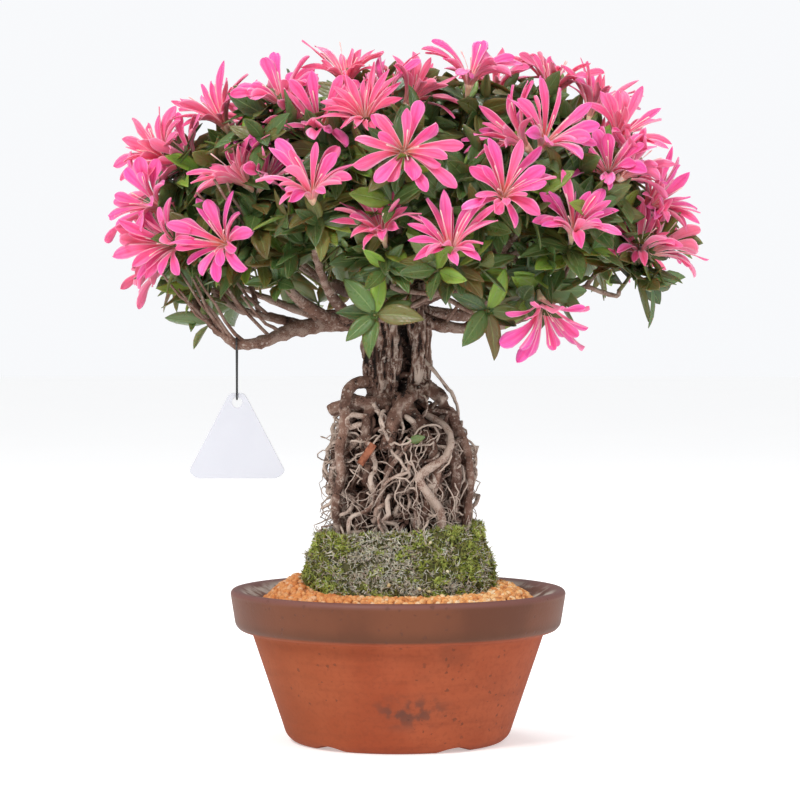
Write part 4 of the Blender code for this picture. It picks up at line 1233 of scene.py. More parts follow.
def eased(profile, radius, steps=5):
    """The profile with its inner corners rounded."""
    found = [profile[0]]
    for before, corner, after in zip(profile, profile[1:], profile[2:]):
        a, c, b = Vector(before), Vector(corner), Vector(after)
        r = min(radius, (a - c).length * 0.45, (b - c).length * 0.45)
        start = c + (a - c).normalized() * r
        end = c + (b - c).normalized() * r
        for i in range(steps + 1):
            t = i / steps
            found.append(tuple(start * (1 - t) ** 2 + c * 2 * t * (1 - t) + end * t * t))
    return [*found, profile[-1]]


def pot_cutters():
    """Round cutters for the arches in the pot's foot and its drain holes: the radius and place of each."""
    arch_r = (NOTCH_HALF_WIDTH**2 + NOTCH_HEIGHT**2) / (2 * NOTCH_HEIGHT)
    places = []
    for i in range(NOTCHES):
        out = heading(math.radians(NOTCH_FIRST_DEG + i * 360 / NOTCHES))
        middle = Matrix.Translation((out * FOOT_R + UP * (NOTCH_HEIGHT - arch_r)) * MM)
        places.append((arch_r, middle @ out.to_track_quat("Z", "Y").to_matrix().to_4x4()))
    for i in range(DRAINS):
        places.append((DRAIN_R, Matrix.Translation(heading(math.tau * i / DRAINS) * DRAIN_RING_R * MM)))
    return places


def make_pot(finish):
    """The thrown pot: a rounded band round the rim, a tapering body, arches cut in its foot, drain holes."""
    profile = (
        (0, FLOOR_TOP_Z), (FOOT_R - WALL - 2, FLOOR_TOP_Z), (BODY_TOP_R - WALL, BODY_TOP_Z),
        (SOIL_EDGE_R + 0.3, SOIL_EDGE_Z - 1), (LIP_R + 1, POT_HEIGHT - 0.2), (POT_RIM_R - 1.5, POT_HEIGHT),
        (POT_RIM_R, POT_HEIGHT - 1.8), (BAND_FOOT_R, BAND_FOOT_Z), (BAND_FOOT_R - 2.2, BAND_FOOT_Z - 2.6),
        (BODY_TOP_R, BODY_TOP_Z), (FOOT_R, 3.6), (FOOT_R - 4, 0), (0, 0),
    )
    pot = turned("terracotta_pot", eased(profile, 2.2), POT_ROUND, wobble=0.25)
    tools = bpy.data.collections.new("pot_cutters")
    bpy.context.scene.collection.children.link(tools)
    for number, (radius, place) in enumerate(pot_cutters()):
        size = {"radius1": radius * MM, "radius2": radius * MM, "depth": 40 * MM, "matrix": place}
        mesh = reworked(bpy.data.meshes.new("cutter"), lambda shape: bmesh.ops.create_cone(
            shape, cap_ends=True, segments=72, **size))
        tools.objects.link(bpy.data.objects.new(f"cutter_{number}", mesh))
    cut = pot.modifiers.new("cut", "BOOLEAN")
    cut.operation = "DIFFERENCE"
    cut.operand_type = "COLLECTION"
    cut.collection = tools
    cut.solver = "MANIFOLD"
    made = plain_mesh(pot, "terracotta_pot")
    for cutter in list(tools.objects):
        bpy.data.objects.remove(cutter, do_unlink=True)
    bpy.data.collections.remove(tools)
    made.data.shade_smooth()
    kept(made, finish, "terracotta", "pot")


def grit_heap(x, y):
    """How much higher the grit lies against the mound at the left and, less so, at the right."""
    turn = abs(math.atan2(y, x))
    near = clamped((70 - math.hypot(x, y)) / 15)
    return near * (7.0 * math.exp(-((turn - math.pi) / 0.45) ** 2) + 4.0 * math.exp(-(turn / 0.4) ** 2))


def grit_ground():
    """The surface that the grains lie on."""
    rings = ((50, SOIL_FLAT_Z - 0.6), (55, SOIL_FLAT_Z - 0.4), (58, 80.4), (61, 80.2), (64.5, 79.2),
             (67.5, 78.0), (70.5, 76.4), (73.0, 74.6))
    points = []
    for r, z in rings:
        for s in range(GRIT_ROUND):
            turn = math.tau * s / GRIT_ROUND
            x, y = r * math.cos(turn), r * math.sin(turn)
            points.append(Vector((x, y, z + grit_heap(x, y) + 0.6 * noise.noise(Vector((x, y, 0)) * 0.15))))
    faces = [(a + GRIT_ROUND, b + GRIT_ROUND, b, a) for a, b in ring_pairs(len(rings), GRIT_ROUND)]
    mesh = mesh_of("grit_ground", points, faces)
    give_numbers(mesh, "share", [1.0] * len(points))
    return mesh


def make_grit(bed_finish, finish):
    """The bed of grit and the loose fired grains on it."""
    profile = ((0, SOIL_FLAT_Z - 0.5), (51.0, SOIL_FLAT_Z - 0.6), (54.5, SOIL_FLAT_Z - 0.6), (58, 80.2),
               (61, 79.8), (64.5, 78.8), (67.5, 77.6), (70.5, 76.0), (73.6, 73.8),
               (BODY_TOP_R - WALL - 0.6, BODY_TOP_Z), (FOOT_R - WALL - 2.6, FLOOR_TOP_Z + 0.3),
               (0, FLOOR_TOP_Z + 0.3))
    bed = turned("grit_bed", profile, GRIT_ROUND)
    for vert in bed.data.vertices:
        x, y, z = vert.co / MM
        if z > 76 and math.hypot(x, y) > 50:
            vert.co.z += grit_heap(x, y) * MM
    give_numbers(bed.data, "tone", [0.1] * len(bed.data.vertices))
    kept(bed, bed_finish, "soil", "soil")
    grains = shape_set("grit_grain", [lumpy_grain(seed) for seed in range(6)])
    strewn("grit_grains", grit_ground(), grains, finish, "soil", "soil", Density=0.19e6, Seed=4,
           Smallest=1.25, Largest=2.1, Tilt=math.pi)


def mound_lift(x):
    """How much higher the mound's shoulder stands at x: it leans up to the right."""
    return MOUND_LEAN_Z * clamped(x / MOUND_SHOULDER_R, -0.5)


def mound_profile():
    """(radius, z) points from the mound's recess over its shoulder to the grit, about MOUND_STEP apart."""
    corners = eased(((RECESS_R - 13, MOUND_TOP_Z - 3.5), (RECESS_R - 4, MOUND_TOP_Z - 1.5),
                     (MOUND_SHOULDER_R - 6, MOUND_TOP_Z - 2), (MOUND_SHOULDER_R - 2.6, 104),
                     (MOUND_R - 3.4, 90), (MOUND_R - 0.8, SOIL_FLAT_Z - 1)), 2.5, 3)
    fine = []
    for (r0, z0), (r1, z1) in zip(corners, corners[1:]):
        steps = max(1, round(math.hypot(r1 - r0, z1 - z0) / MOUND_STEP))
        fine += [(r0 + (r1 - r0) * i / steps, z0 + (z1 - z0) * i / steps) for i in range(steps)]
    return [*fine, corners[-1]]


def mound_mesh(name, swell, share_of):
    """The mound's skin, swollen in mm, with a share at each point."""
    profile = mound_profile()
    points = []
    for r, z in profile:
        for s in range(MOUND_ROUND):
            turn = math.tau * s / MOUND_ROUND
            out = heading(turn)
            lump = noise.noise(out * 7 + UP * z * 0.14) * 2.6 + noise.noise(out * 24 + UP * z * 0.45) * 1.0
            rise = max(0.0, (z - SOIL_FLAT_Z) / (MOUND_TOP_Z - SOIL_FLAT_Z))
            wide = r * (1 - 0.02 * math.sin(3 * turn)) + (lump + swell if r > RECESS_R else 0)
            hump = lump * 0.6 if z > MOUND_TOP_Z - 6 else 0
            top = swell if r < RECESS_R + 4 else 0
            points.append(out * wide + UP * (z + hump + mound_lift(r * out.x) * rise + top))
    faces = [(a + MOUND_ROUND, b + MOUND_ROUND, b, a) for a, b in ring_pairs(len(profile), MOUND_ROUND)]
    mesh = mesh_of(name, points, faces)
    give_numbers(mesh, "share", [share_of(spot) for spot in points])
    return mesh


def patchy(spot, size, seed):
    return noise.noise(spot / size + Vector((seed, seed * 0.7, 0)))


def near_patch(spot, x, z, wide, high):
    """How near a point on the mound's front is to the middle of a patch, from 0 to 1."""
    return (spot.y < 0) * math.exp(-((spot.x - x) / wide) ** 2 - ((spot.z - z) / high) ** 2)


def dry_front(spot):
    """How dry the moss is: most in the front middle, and pale in two patches low down."""
    return max(near_patch(spot, -8, 98, 21, 16), near_patch(spot, 8, 86, 9, 5),
               near_patch(spot, 34, 87, 9, 5))


def green_share(spot):
    """Dark green moss: most at the sides, little in the dry front."""
    return clamped(0.85 + 0.9 * patchy(spot, 9, 2) - 0.7 * dry_front(spot))


def bright_share(spot):
    """Bright green clumps: most at the right side, some at the left shoulder."""
    side = 0.012 * max(0.0, spot.x) + 0.004 * max(0.0, -spot.x) * (spot.z > 100)
    return clamped(0.05 + 2.8 * patchy(spot, 8, 7) + side - 0.6 * dry_front(spot))


def dry_share(spot):
    """Dry grey threads: most in the dry front."""
    return clamped(0.12 + 0.7 * patchy(spot, 8, 4) + 0.95 * dry_front(spot), 0.04)


def pebble_share(spot):
    return max(0.08, near_patch(spot, 20, 88, 24, 7))


def close_ends(shape):
    """Fills the two open ends of an edit mesh."""
    ends = [edge for edge in shape.edges if edge.is_boundary]
    bmesh.ops.holes_fill(shape, edges=ends, sides=0)
    bmesh.ops.recalc_face_normals(shape, faces=shape.faces)


def make_mound():
    """The mossy mound: felt with dark and bright green moss, dry grey threads and a few pebbles on it."""
    skin = mound_mesh("mound_skin", -0.6, lambda spot: 1.0)
    reworked(skin, close_ends)
    skin.shade_smooth()
    give_numbers(skin, "tone", [0.2] * len(skin.vertices))
    kept(bpy.data.objects.new("moss_felt", skin), moss_finish("moss_felt_finish"), "moss", "moss_mound")
    # Name, the ground's swell, where it grows, shapes, finish, then density, seed, sizes and tilt
    layers = (
        ("dark", 0.0, green_share, [moss_tuft(seed, 5, 1.5, 0.34, 0.95) for seed in range(8)],
         moss_finish("moss_dark_finish"), 0.33e6, 1, 0.8, 1.4, 0.5),
        ("bright", 0.3, bright_share, [moss_tuft(seed + 20, 5, 1.7, 0.34, 1.1) for seed in range(8)],
         moss_finish("moss_bright_finish"), 0.42e6, 2, 0.7, 1.3, 0.6),
        ("dry", 0.2, dry_share, [moss_tuft(seed + 40, 4, 2.2, 0.28, 1.5) for seed in range(8)],
         moss_finish("moss_dry_finish"), 0.46e6, 3, 0.6, 1.3, 1.0),
        ("pebbles", 1.4, pebble_share, [lumpy_grain(seed + 30) for seed in range(4)],
         grit_finish("cream_fleck"), 0.012e6, 6, 0.5, 1.3, math.pi),
    )
    for name, swell, share_of, shapes, finish, density, seed, smallest, largest, tilt in layers:
        strewn(f"moss_{name}", mound_mesh(f"{name}_ground", swell, share_of),
               shape_set(f"moss_{name}_shape", shapes), finish, "moss", "moss_mound",
               Density=density, Seed=seed, Smallest=smallest, Largest=largest, Tilt=tilt)


def root_reach(z):
    """How far out the roots stand at a height: a bell that closes into the mound."""
    down = clamped((ROOTS_TOP_Z - z) / 40)
    out = ROOTS_TOP_R + (ROOTS_BELLY_R - ROOTS_TOP_R) * (1 - (1 - down) ** 2.2)
    return out + (ROOTS_LOW_R - ROOTS_BELLY_R) * clamped((145 - z) / 35)


def ruled_root(number, thin):
    """A root's points and its radii at both ends: down from the trunk, wandering, into the root ball."""
    draw = random.Random(f"{'thin' if thin else 'thick'} root {number}")
    angle = number * GOLDEN_TURN + (0.7 if thin else 0.0)
    wander = draw.choice((-1, 1)) * draw.uniform(0.25, 0.7)
    depth = draw.uniform(0.55, 0.98) if thin else draw.uniform(0.5, 0.95)
    top = draw.uniform(150, 180) if thin else draw.uniform(180, 189)
    low = 104.0
    count = 4 if thin else 5
    points = []
    for i in range(count):
        t = i / (count - 1)
        z = top + (low - top) * t
        reach = root_reach(z) * (depth + (1 - depth) * math.sin(math.pi * t) * draw.uniform(0.2, 1))
        turn = angle + wander * math.sin(math.pi * 0.9 * t) + draw.uniform(-0.14, 0.14)
        jog = draw.uniform(-2, 2) * (0 < i < count - 1)
        points.append((reach * math.cos(turn), reach * math.sin(turn), z + jog))
    if not thin:
        points[0] = (points[0][0] * 0.55, points[0][1] * 0.55, top + 2)
    start = draw.uniform(1.3, 1.8) if thin else draw.uniform(2.6, 4.0)
    return points, start, start * 0.72


def knobbly(path, draw, size):
    """A path with small sideways kinks."""
    found = []
    for i, spot in enumerate(path):
        keep = 0 < i < len(path) - 1
        found.append(spot + Vector([draw.uniform(-size, size) * keep for _ in range(3)]))
    return found


def wandering_root(name, start_turn, top, girth, depth, low, thin_out=0.6):
    """A root that comes out from within and feels its way down the root mass, one short step at a time."""
    draw = random.Random(name)
    out = heading(start_turn)
    spot = out * root_reach(top) * depth * 0.45 + UP * top
    way = (out - UP * 0.7).normalized()
    path = [spot]
    for _ in range(ROOT_STEPS):
        flat = Vector((spot.x, spot.y, 0))
        wanted = (root_reach(spot.z) + 0.13 * max(0.0, 135 - spot.z)) * depth
        pull = flat.normalized() * (wanted - flat.length) * 0.10
        stray = Vector([draw.gauss(0, 0.42) for _ in range(3)])
        way = (way + pull + stray - UP * 0.16).normalized()
        spot = spot + way * ROOT_STEP
        path.append(spot)
        if spot.z < low:
            break
    return path, tapered(len(path), girth, girth * thin_out)


def cleft_at(spot):
    """How deep in the cleft between the two front stems a point lies, from 0 to 1; the cleft is sunk in and
    darkened with painted shade.
    """
    if spot.y > 0 or not CLEFT_LOW_Z < spot.z < CLEFT_TOP_Z:
        return 0.0
    middle = 3.4 + 1.4 * math.sin(spot.z * 0.16)
    at_ends = min(1.0, (spot.z - CLEFT_LOW_Z) / 8, (CLEFT_TOP_Z - spot.z) / 10)
    return math.exp(-((spot.x - middle) / 1.7) ** 2) * at_ends


def bark_height(spot):
    """How far the bark stands out: long plaits on the trunk, knobs on the roots."""
    trunk = clamped((spot.z - 178) / 14) * clamped((24 - math.hypot(spot.x, spot.y)) / 6)
    plait = noise.noise(Vector((spot.x * 0.36, spot.y * 0.36, spot.z * 0.07)))
    plait += 0.6 * noise.noise(Vector((spot.x * 0.95, spot.y * 0.95, spot.z * 0.17 + 9)))
    knob = noise.noise(spot * 0.28) + 0.6 * noise.noise(spot * 0.75 + Vector((5, 0, 0)))
    fine = noise.noise(spot * 1.7) * 0.22
    # The cleft sinks the bark here, and its depth also gives painted shade through the bark's tint
    return trunk * (1.0 - 4.2 * abs(plait)) + (1 - trunk) * knob * 0.62 + fine - 5.0 * cleft_at(spot)


def add_stems(mass, draw):
    """The trunk's stems, and strands that run up all but the middle one."""
    for number, (stem, strands) in enumerate(zip(TRUNK_STEMS, STRANDS)):
        line = smooth([p[:3] for p in stem], 4)
        knots = np.linspace(0, len(stem) - 1, len(line))
        girth = np.interp(knots, range(len(stem)), [p[3] for p in stem])
        sweep(mass, line, [g * 0.93 for g in girth], 20, EVEN_TINT, 0.12, number * 3.0)
        for strand in range(strands):
            turn = math.tau * strand / strands + draw.uniform(-0.3, 0.3)
            drift = draw.uniform(-0.8, 0.8)
            plait = []
            for i, spot in enumerate(line):
                a = turn + drift * i / len(line) + 0.25 * math.sin(i * 0.9 + strand)
                plait.append(spot + heading(a) * girth[i] * 0.86)
            thick = draw.uniform(1.3, 2.3)
            radii = [thick * (1 + 0.3 * math.sin(i * 1.3 + strand)) for i in range(len(plait))]
            sweep(mass, plait, radii, 8, EVEN_TINT, 0.3, strand)


def add_thick_roots(mass, draw):
    """The thick roots, the branches' feet and the shoulder at the right."""
    for number, (points, start, end) in enumerate(SHOWN_ROOTS):
        if start > THIN and number != PALE_ROOT:
            taper(mass, knobbly(smooth(points, 5), draw, 0.35), start, end, 14, EVEN_TINT, 0.35, number * 2.0)
    for number in range(THICK_ROOTS):
        points, start, end = ruled_root(number, False)
        taper(mass, knobbly(smooth(points, 8), draw, 0.4), start, end, 14, EVEN_TINT, 0.35, number * 5.0)
    for points, start, end in BRANCHES.values():
        taper(mass, smooth(points, 5)[:6], start * 1.15, start, 14, EVEN_TINT, 0.2)
    points, start, end = SHOULDER
    taper(mass, smooth(points, 3), start, end, 14, EVEN_TINT, 0.3)


def weather(mesh):
    """Raises the bark and tints it: darker within the root mass and in the cleft as painted shade, pale on
    its ridges as wear and painted highlight, and pale at the knob.
    """
    normals = [vert.normal.copy() for vert in mesh.vertices]
    tints = []
    for vert, normal in zip(mesh.vertices, normals):
        spot = vert.co / MM
        height = bark_height(spot)
        vert.co += normal * height * BARK_RELIEF * MM
        tone = 0.5 + 0.9 * noise.noise(spot * 0.08)
        # How deep within the root mass a point lies: the tint darkens there as painted shade
        inner = 1 - math.hypot(spot.x, spot.y) / root_reach(spot.z) if spot.z < 178 else 0.0
        above = clamped((spot.z - 184) / 8)
        knob = math.exp(-((spot - KNOB).length / 3.6) ** 2)
        # Pale on the ridges as wear and painted highlight, low in the cleft as painted shade
        wear_and_light = 0.42 - 0.08 * above + 0.38 * height - 0.75 * max(0.0, inner) + 0.6 * knob
        tints.append((clamped(tone * (1 - inner)), clamped(wear_and_light), 0.0, 1.0))
    give_tints(mesh, tints)


def make_trunk(finish):
    """The plaited trunk, its shoulders and the thick roots, grown together in one skin."""
    draw = random.Random("trunk")
    mass = Mass()
    add_stems(mass, draw)
    add_thick_roots(mass, draw)
    obj = linked(bpy.data.objects.new("trunk_rough", mesh_of("trunk", mass.points, mass.faces)))
    fuse = obj.modifiers.new("fuse", "REMESH")
    fuse.mode = "VOXEL"
    fuse.voxel_size = TRUNK_GRID * MM
    made = plain_mesh(obj, "trunk_and_thick_roots")
    weather(made.data)
    made.data.shade_smooth()
    kept(made, finish, "bark", "trunk_roots_and_branches")


def depth_tints(points, tone, wear_and_light):
    """Tints for points of the root mass: darker the deeper they lie in it, as painted shade, and paler
    outside as wear and painted highlight.
    """
    tints = []
    for spot in points:
        share = math.hypot(spot.x, spot.y) / root_reach(spot.z)
        light = clamped((share - 0.58) / 0.42)
        patch = 0.85 + 0.55 * noise.noise(spot * 0.22)
        tints.append((tone * (0.3 + 0.7 * light), wear_and_light * light * patch + 0.12, 0.0))
    return tints


def add_ruled_roots(mass, draw):
    """The thin roots read off the photograph, the pale one and those that follow the rule."""
    for points, start, end in SHOWN_ROOTS:
        if start <= THIN:
            taper(mass, knobbly(smooth(points, 6), draw, 0.3), start, end, 8, (0.9, 0.75, 0.0), 0.3)
    points, start, end = SHOWN_ROOTS[PALE_ROOT]
    line = knobbly(smooth(points, 6), draw, 0.3)
    taper(mass, line, start * 0.75, end * 0.9, 12, (0.9, 0.63, 0.0), 0.5, 4.0)
    for number in range(THIN_ROOTS):
        points, start, end = ruled_root(number, True)
        taper(mass, knobbly(smooth(points, 9), draw, 0.4), start, end, 9, (0.5, 0.55, 0.0), 0.35, number)


def add_wandering_roots(mass, draw):
    """The tangle: roots within, tinted dark as painted shade, thinner ones round them, and hair roots over
    all.
    """
    for number in range(INNER_ROOTS):
        turn, top = draw.uniform(0, math.tau), draw.uniform(135, 172)
        path, radii = wandering_root(f"inner root {number}", turn, top, draw.uniform(1.8, 3.6),
                                     draw.uniform(0.15, 0.6), 105)
        # A dark tint: painted shade within the root mass
        sweep(mass, path, radii, 8, (0.25, 0.18, 0.0), 0.4, number)
    for number in range(MORE_ROOTS):
        girth = draw.uniform(0.8, 1.9)
        turn, top = draw.uniform(0, math.tau), draw.uniform(146, 186)
        path, radii = wandering_root(f"root {number}", turn, top, girth, draw.uniform(0.5, 0.95),
                                     draw.uniform(103, 109))
        tone, wear_and_light = draw.random(), draw.uniform(0.4, 1.0)
        sweep(mass, path, radii, 8, lambda spots: depth_tints(spots, tone, wear_and_light), 0.4, number)
    for number in range(HAIR_ROOTS):
        girth = draw.uniform(0.3, 0.85)
        turn, top = draw.uniform(0, math.tau), draw.uniform(120, 176)
        path, radii = wandering_root(f"hair {number}", turn, top, girth, draw.uniform(0.6, 1.0),
                                     draw.uniform(104, 130), 0.3)
        tone, wear_and_light = draw.random(), draw.uniform(0.7, 1.3)
        sweep(mass, path, radii, 5, lambda spots: depth_tints(spots, tone, wear_and_light))


def make_fine_roots(finish):
    """The tangle of thinner roots round the thick ones."""
    draw = random.Random("fine roots")
    mass = Mass()
    add_ruled_roots(mass, draw)
    add_wandering_roots(mass, draw)
    piece("fine_roots", mass, finish, "bark", "trunk_roots_and_branches")


def twig_line(number):
    """A twig from the nearest branch, lower down and further in, to a shoot's foot."""
    line = [shoot_at(number, t) for t in (0, 0.5, 1)]
    foot = line[0]
    way = (line[1] - line[0]).normalized()
    best = None
    for points, start, end in BRANCHES.values():
        knots = smooth(points, 3)
        for i, knot in enumerate(knots[2:], 2):
            gap = foot - knot
            cost = gap.length * (1.5 - 0.9 * gap.normalized().dot(way))
            if best is None or cost < best[0]:
                best = (cost, knot, start + (end - start) * i / (len(knots) - 1))
    _, anchor, girth = best
    radius = min(TWIG_R, girth)
    return [anchor, foot - way * TWIG_END, foot - way * GAP], [radius * 1.1, radius, radius * 0.95]


def make_root_ball(finish):
    """The ball that the roots grow into, tinted dark as painted shade behind the roots."""
    low = RECESS_Z + 0.3
    profile = ((0, ROOT_BALL_TOP_Z), (30, ROOT_BALL_TOP_Z - 1), (RECESS_R - 4, 107), (RECESS_R - 0.5, 102),
               (RECESS_R - 0.5, low), (0, low))
    ball = turned("root_ball", eased(profile, 3), 90)
    for vert in ball.data.vertices:
        if vert.co.z / MM > RECESS_Z + 4:
            vert.co.z += 0.9 * MM * noise.noise(vert.co / MM * 0.3)
    # A dark tint: painted shade behind the roots
    give_tints(ball.data, [(0.2, 0.25, 0.0, 1.0)] * len(ball.data.vertices))
    kept(ball, finish, "bark", "trunk_roots_and_branches")


def thin_twig(mass, draw, number):
    """A thin bare twig that rises from the outer part of a low branch into the crown."""
    line = smooth(BRANCHES[TWIGGY[number % len(TWIGGY)]][0], 4)
    start = line[draw.randint(4, len(line) - 4)]
    flat = Vector((start.x, start.y, 0)).normalized()
    way = (flat + UP * draw.uniform(0.5, 1.2) + Vector((draw.uniform(-0.4, 0.4), draw.uniform(-0.9, 0.2), 0)))
    length = draw.uniform(26, 44)
    path = [start + way.normalized() * length * t + UP * 9 * t * t for t in FIFTHS]
    taper(mass, knobbly(path, draw, 1.0), 1.1, 0.65, 6, (0.85, 0.45, 0.0), 0.2, number)


def make_branches(finish):
    """Branches with a swelling at every sixth point, the twigs to the shoots, and thin bare twigs."""
    draw = random.Random("branches")
    mass = Mass()
    for number, (points, start, end) in enumerate(BRANCHES.values()):
        line = knobbly(smooth(points, 6), draw, 0.35)
        radii = [r * (1.0 + 0.16 * (i % 6 == 0)) for i, r in enumerate(tapered(len(line), start, end))]
        sweep(mass, line, radii, 12, (0.75, 0.5, 0.0), 0.28, number)
    for number in range(len(SHOOTS)):
        points, radii = twig_line(number)
        line = knobbly(smooth(points, 7), draw, 0.2)
        taper(mass, line, radii[0], radii[-1], 8, (0.9, 0.5, 0.0), 0.2)
    for number in range(THIN_TWIGS):
        thin_twig(mass, draw, number)
    piece("branches_and_twigs", mass, finish, "bark", "trunk_roots_and_branches")


def leafy_twig(mass, name, start, way, length, leaves):
    """A side twig with leaves at its end."""
    draw = random.Random(name)
    rise = draw.uniform(0.0, 0.5)
    bend = (way + UP * rise + Vector([draw.uniform(-0.3, 0.3) for _ in range(3)])).normalized()
    line = [start + way * length * t * (1 - t / 2) + bend * length * t * t / 2
            for t in (0, 0.25, 0.5, 0.75, 1)]
    taper(mass, line, 0.75, 0.5, 5, (0.3, 0.8, 0.0))
    axis = (line[-1] - line[0]).normalized()
    for leaf in range(leaves):
        out = leaning(axis, draw.uniform(0.6, 1.45), leaf * LEAF_TURN + draw.uniform(-0.4, 0.4))
        end = (leaning(out, draw.uniform(0.1, 0.5), draw.uniform(0, math.tau)) - UP * 0.2).normalized()
        size = draw.uniform(17, 27)
        spot = line[-1] - axis * draw.uniform(0, 3)
        side = out.cross(axis).normalized()
        if inside_box(spot + out * size) and side.length > 0.5:
            width = size * LEAF_WIDTH * draw.uniform(0.9, 1.2)
            grow_leaf(mass, (spot, out, end, side, size, width), draw, False)


def more_leaves(mass, draw, number, axis):
    """Leaves between those of a shoot's solid."""
    for leaf in range(MORE_LEAVES):
        turn = leaf * LEAF_TURN + number + 0.6
        out = leaning(axis, draw.uniform(1.0, 1.6), turn)
        end = (leaning(axis, draw.uniform(1.2, 2.0), turn) - UP * draw.uniform(0, 0.3)).normalized()
        size = draw.uniform(18, 29)
        spot = shoot_at(number, draw.uniform(0.5, 0.95))
        if inside_box(spot + out * size):
            width = size * LEAF_WIDTH * draw.uniform(0.9, 1.2)
            grow_leaf(mass, (spot, out, end, out.cross(axis).normalized(), size, width), draw)


def make_spray(number, finish):
    """A shoot: the leaves of its solid, more between them, small side twigs, and sepals at its tip."""
    node = f"spray_{number + 1:02}"
    draw = random.Random(node)
    mass = Mass()
    stem = [shoot_at(number, t) for t in FIFTHS]
    taper(mass, stem, 1.15, 0.95, 8, (0.35, 0.8, 0.0), 0.15)
    slots = [(number, leaf) for leaf in range(LEAVES_AT_TIP + LEAVES_BELOW)]
    for _, drawn in grown(slots, leaf_draw, LEAF_MARKS, node, number):
        grow_leaf(mass, drawn, draw)
    axis = (stem[-1] - stem[0]).normalized()
    if number >= SOLID_SHOOTS or SHOOTS[number][2]:
        more_leaves(mass, draw, number, axis)
        for twig in range(SIDE_TWIGS):
            way = leaning(axis, draw.uniform(0.8, 1.3), twig * 2.1 + number)
            start = shoot_at(number, 0.15 + 0.2 * twig)
            leafy_twig(mass, f"{node} twig {twig}", start, way, draw.uniform(12, 20), TWIG_LEAVES)
    for sepal in range(SEPALS):
        turn = math.tau * sepal / SEPALS
        out = leaning(axis, 1.0, turn)
        end = leaning(axis, 0.3, turn)
        grow_leaf(mass, (stem[-1] - axis, out, end, out.cross(axis).normalized(), 4.5, 1.6), draw, False)
    piece(f"leaves_{number + 1:02}", mass, finish, "leaf", *[node][:number < SOLID_SHOOTS])


def make_inner_leaves(finish):
    """Short leafy twigs along the branches, in the shade of the canopy."""
    draw = random.Random("inner leaves")
    for label, (points, _, _) in BRANCHES.items():
        mass = Mass()
        line = smooth(points, 4)
        low = label.startswith("low_")
        for i in range(len(line) // 3, len(line) - 1):
            for twig in range(draw.choice((0, 0, 1)) if low else 2):
                if line[i].z < 266 and line[i].y < 6 and draw.random() < 0.6:
                    continue
                along = (line[i + 1] - line[i]).normalized()
                way = leaning(along, draw.uniform(0.6, 1.4), draw.uniform(0, math.tau))
                way.z = abs(way.z) + (0.5 if low else 0.1)
                length = draw.uniform(10, 32)
                leafy_twig(mass, f"{label} {i} {twig}", line[i], way.normalized(), length, TWIG_LEAVES)
        piece(f"inner_leaves_{label}", mass, finish, "leaf")


def add_stamens(mass, draw, foot, way, number):
    """A bloom's few stamens, each with a small knob at its end."""
    for stamen in range(STAMENS):
        turn = math.tau * stamen / STAMENS + number
        out = leaning(way, draw.uniform(0.05, 0.35), turn)
        end = leaning(way, draw.uniform(0.3, 0.9), turn)
        size = draw.uniform(16, 25)
        line = [foot + way * THROAT + size * bent(out, end, t) for t in (0, 0.25, 0.5, 0.75, 0.96, 1)]
        sweep(mass, line, (0.22, 0.2, 0.18, 0.18, 0.42, 0.3), 4, (0.5, 0.7, 0.0))


def make_bloom(number, finish):
    """A bloom, or a pair from one foot: strap petals from a narrow throat, and a few stamens."""
    node = f"bloom_{number + 1:02}"
    draw = random.Random(node)
    mass = Mass()
    count = SHOOTS[number][2]
    slots = [(number, bloom, petal) for bloom in range(count) for petal in range(petals_of(number))]
    found = grown(slots, petal_draw, PETAL_MARKS, node, number)
    for bloom in range(count):
        foot, way = bloom_axis(number, bloom)
        slender = SLENDER[(number + bloom) % len(SLENDER)]
        # How far the bloom's petals lean to lilac, partly a painted sheen
        warmth = 0.15 + 0.7 * draw.random() - 0.25 * slender
        more = round(MORE_PETALS + 5 * slender)
        drawn_petals = [drawn for slot, drawn in found if slot[1] == bloom]
        drawn_petals += [more_petal_draw(number, bloom, petal, more) for petal in range(more)]
        for root, out, end, side, length, width in drawn_petals:
            if inside_box(root + (out + end) * length * 0.5):
                tone = clamped(warmth + draw.uniform(-0.3, 0.3))
                drawn = (root, out, end, side, length, width * (1.05 - 0.42 * slender))
                grow_petal(mass, drawn, draw, tone, slender)
        tube = [foot, foot + way * 2.6, foot + way * 5.5, foot + way * THROAT]
        sweep(mass, tube, (1.1, 1.3, 2.0, 2.7), 10, (0.4, 0.2, 0.0))
        add_stamens(mass, draw, foot, way, number)
    piece(f"petals_{number + 1:02}", mass, finish, "petal", *[node][:number < SOLID_SHOOTS])


def make_fallen_bits(leaf, dry):
    """A dry brown flake and a small green leaf that lie caught in the roots."""
    def fold(t):
        return 0.2

    def lift(t, u, half):
        return 0.2 * abs(u) * half

    mass = Mass()
    way = Vector((0.55, -0.1, 0.83)).normalized()
    flake = (Vector((-20, -40, 150)), way, way, Vector((0.83, 0.1, -0.55)).normalized(), 13.0, 4.0)
    blade(mass, flake, lambda t, width: width * 0.5, fold, lift, BIT_STATIONS, LEAF_COLUMNS, 0.5, (0.5, 0.5))
    piece("bark_flake", mass, dry, "bark")
    mass = Mass()
    way = Vector((0.9, -0.3, 0.25)).normalized()
    small = (Vector((5, -39, 162)), way, way, Vector((-0.25, 0.05, 0.95)).normalized(), 10.0, 4.6)
    blade(mass, small, leaf_half, fold, lift, BIT_STATIONS, LEAF_COLUMNS, LEAF_THICK, (0.9, 0.3))
    piece("fallen_leaf", mass, leaf, "leaf")


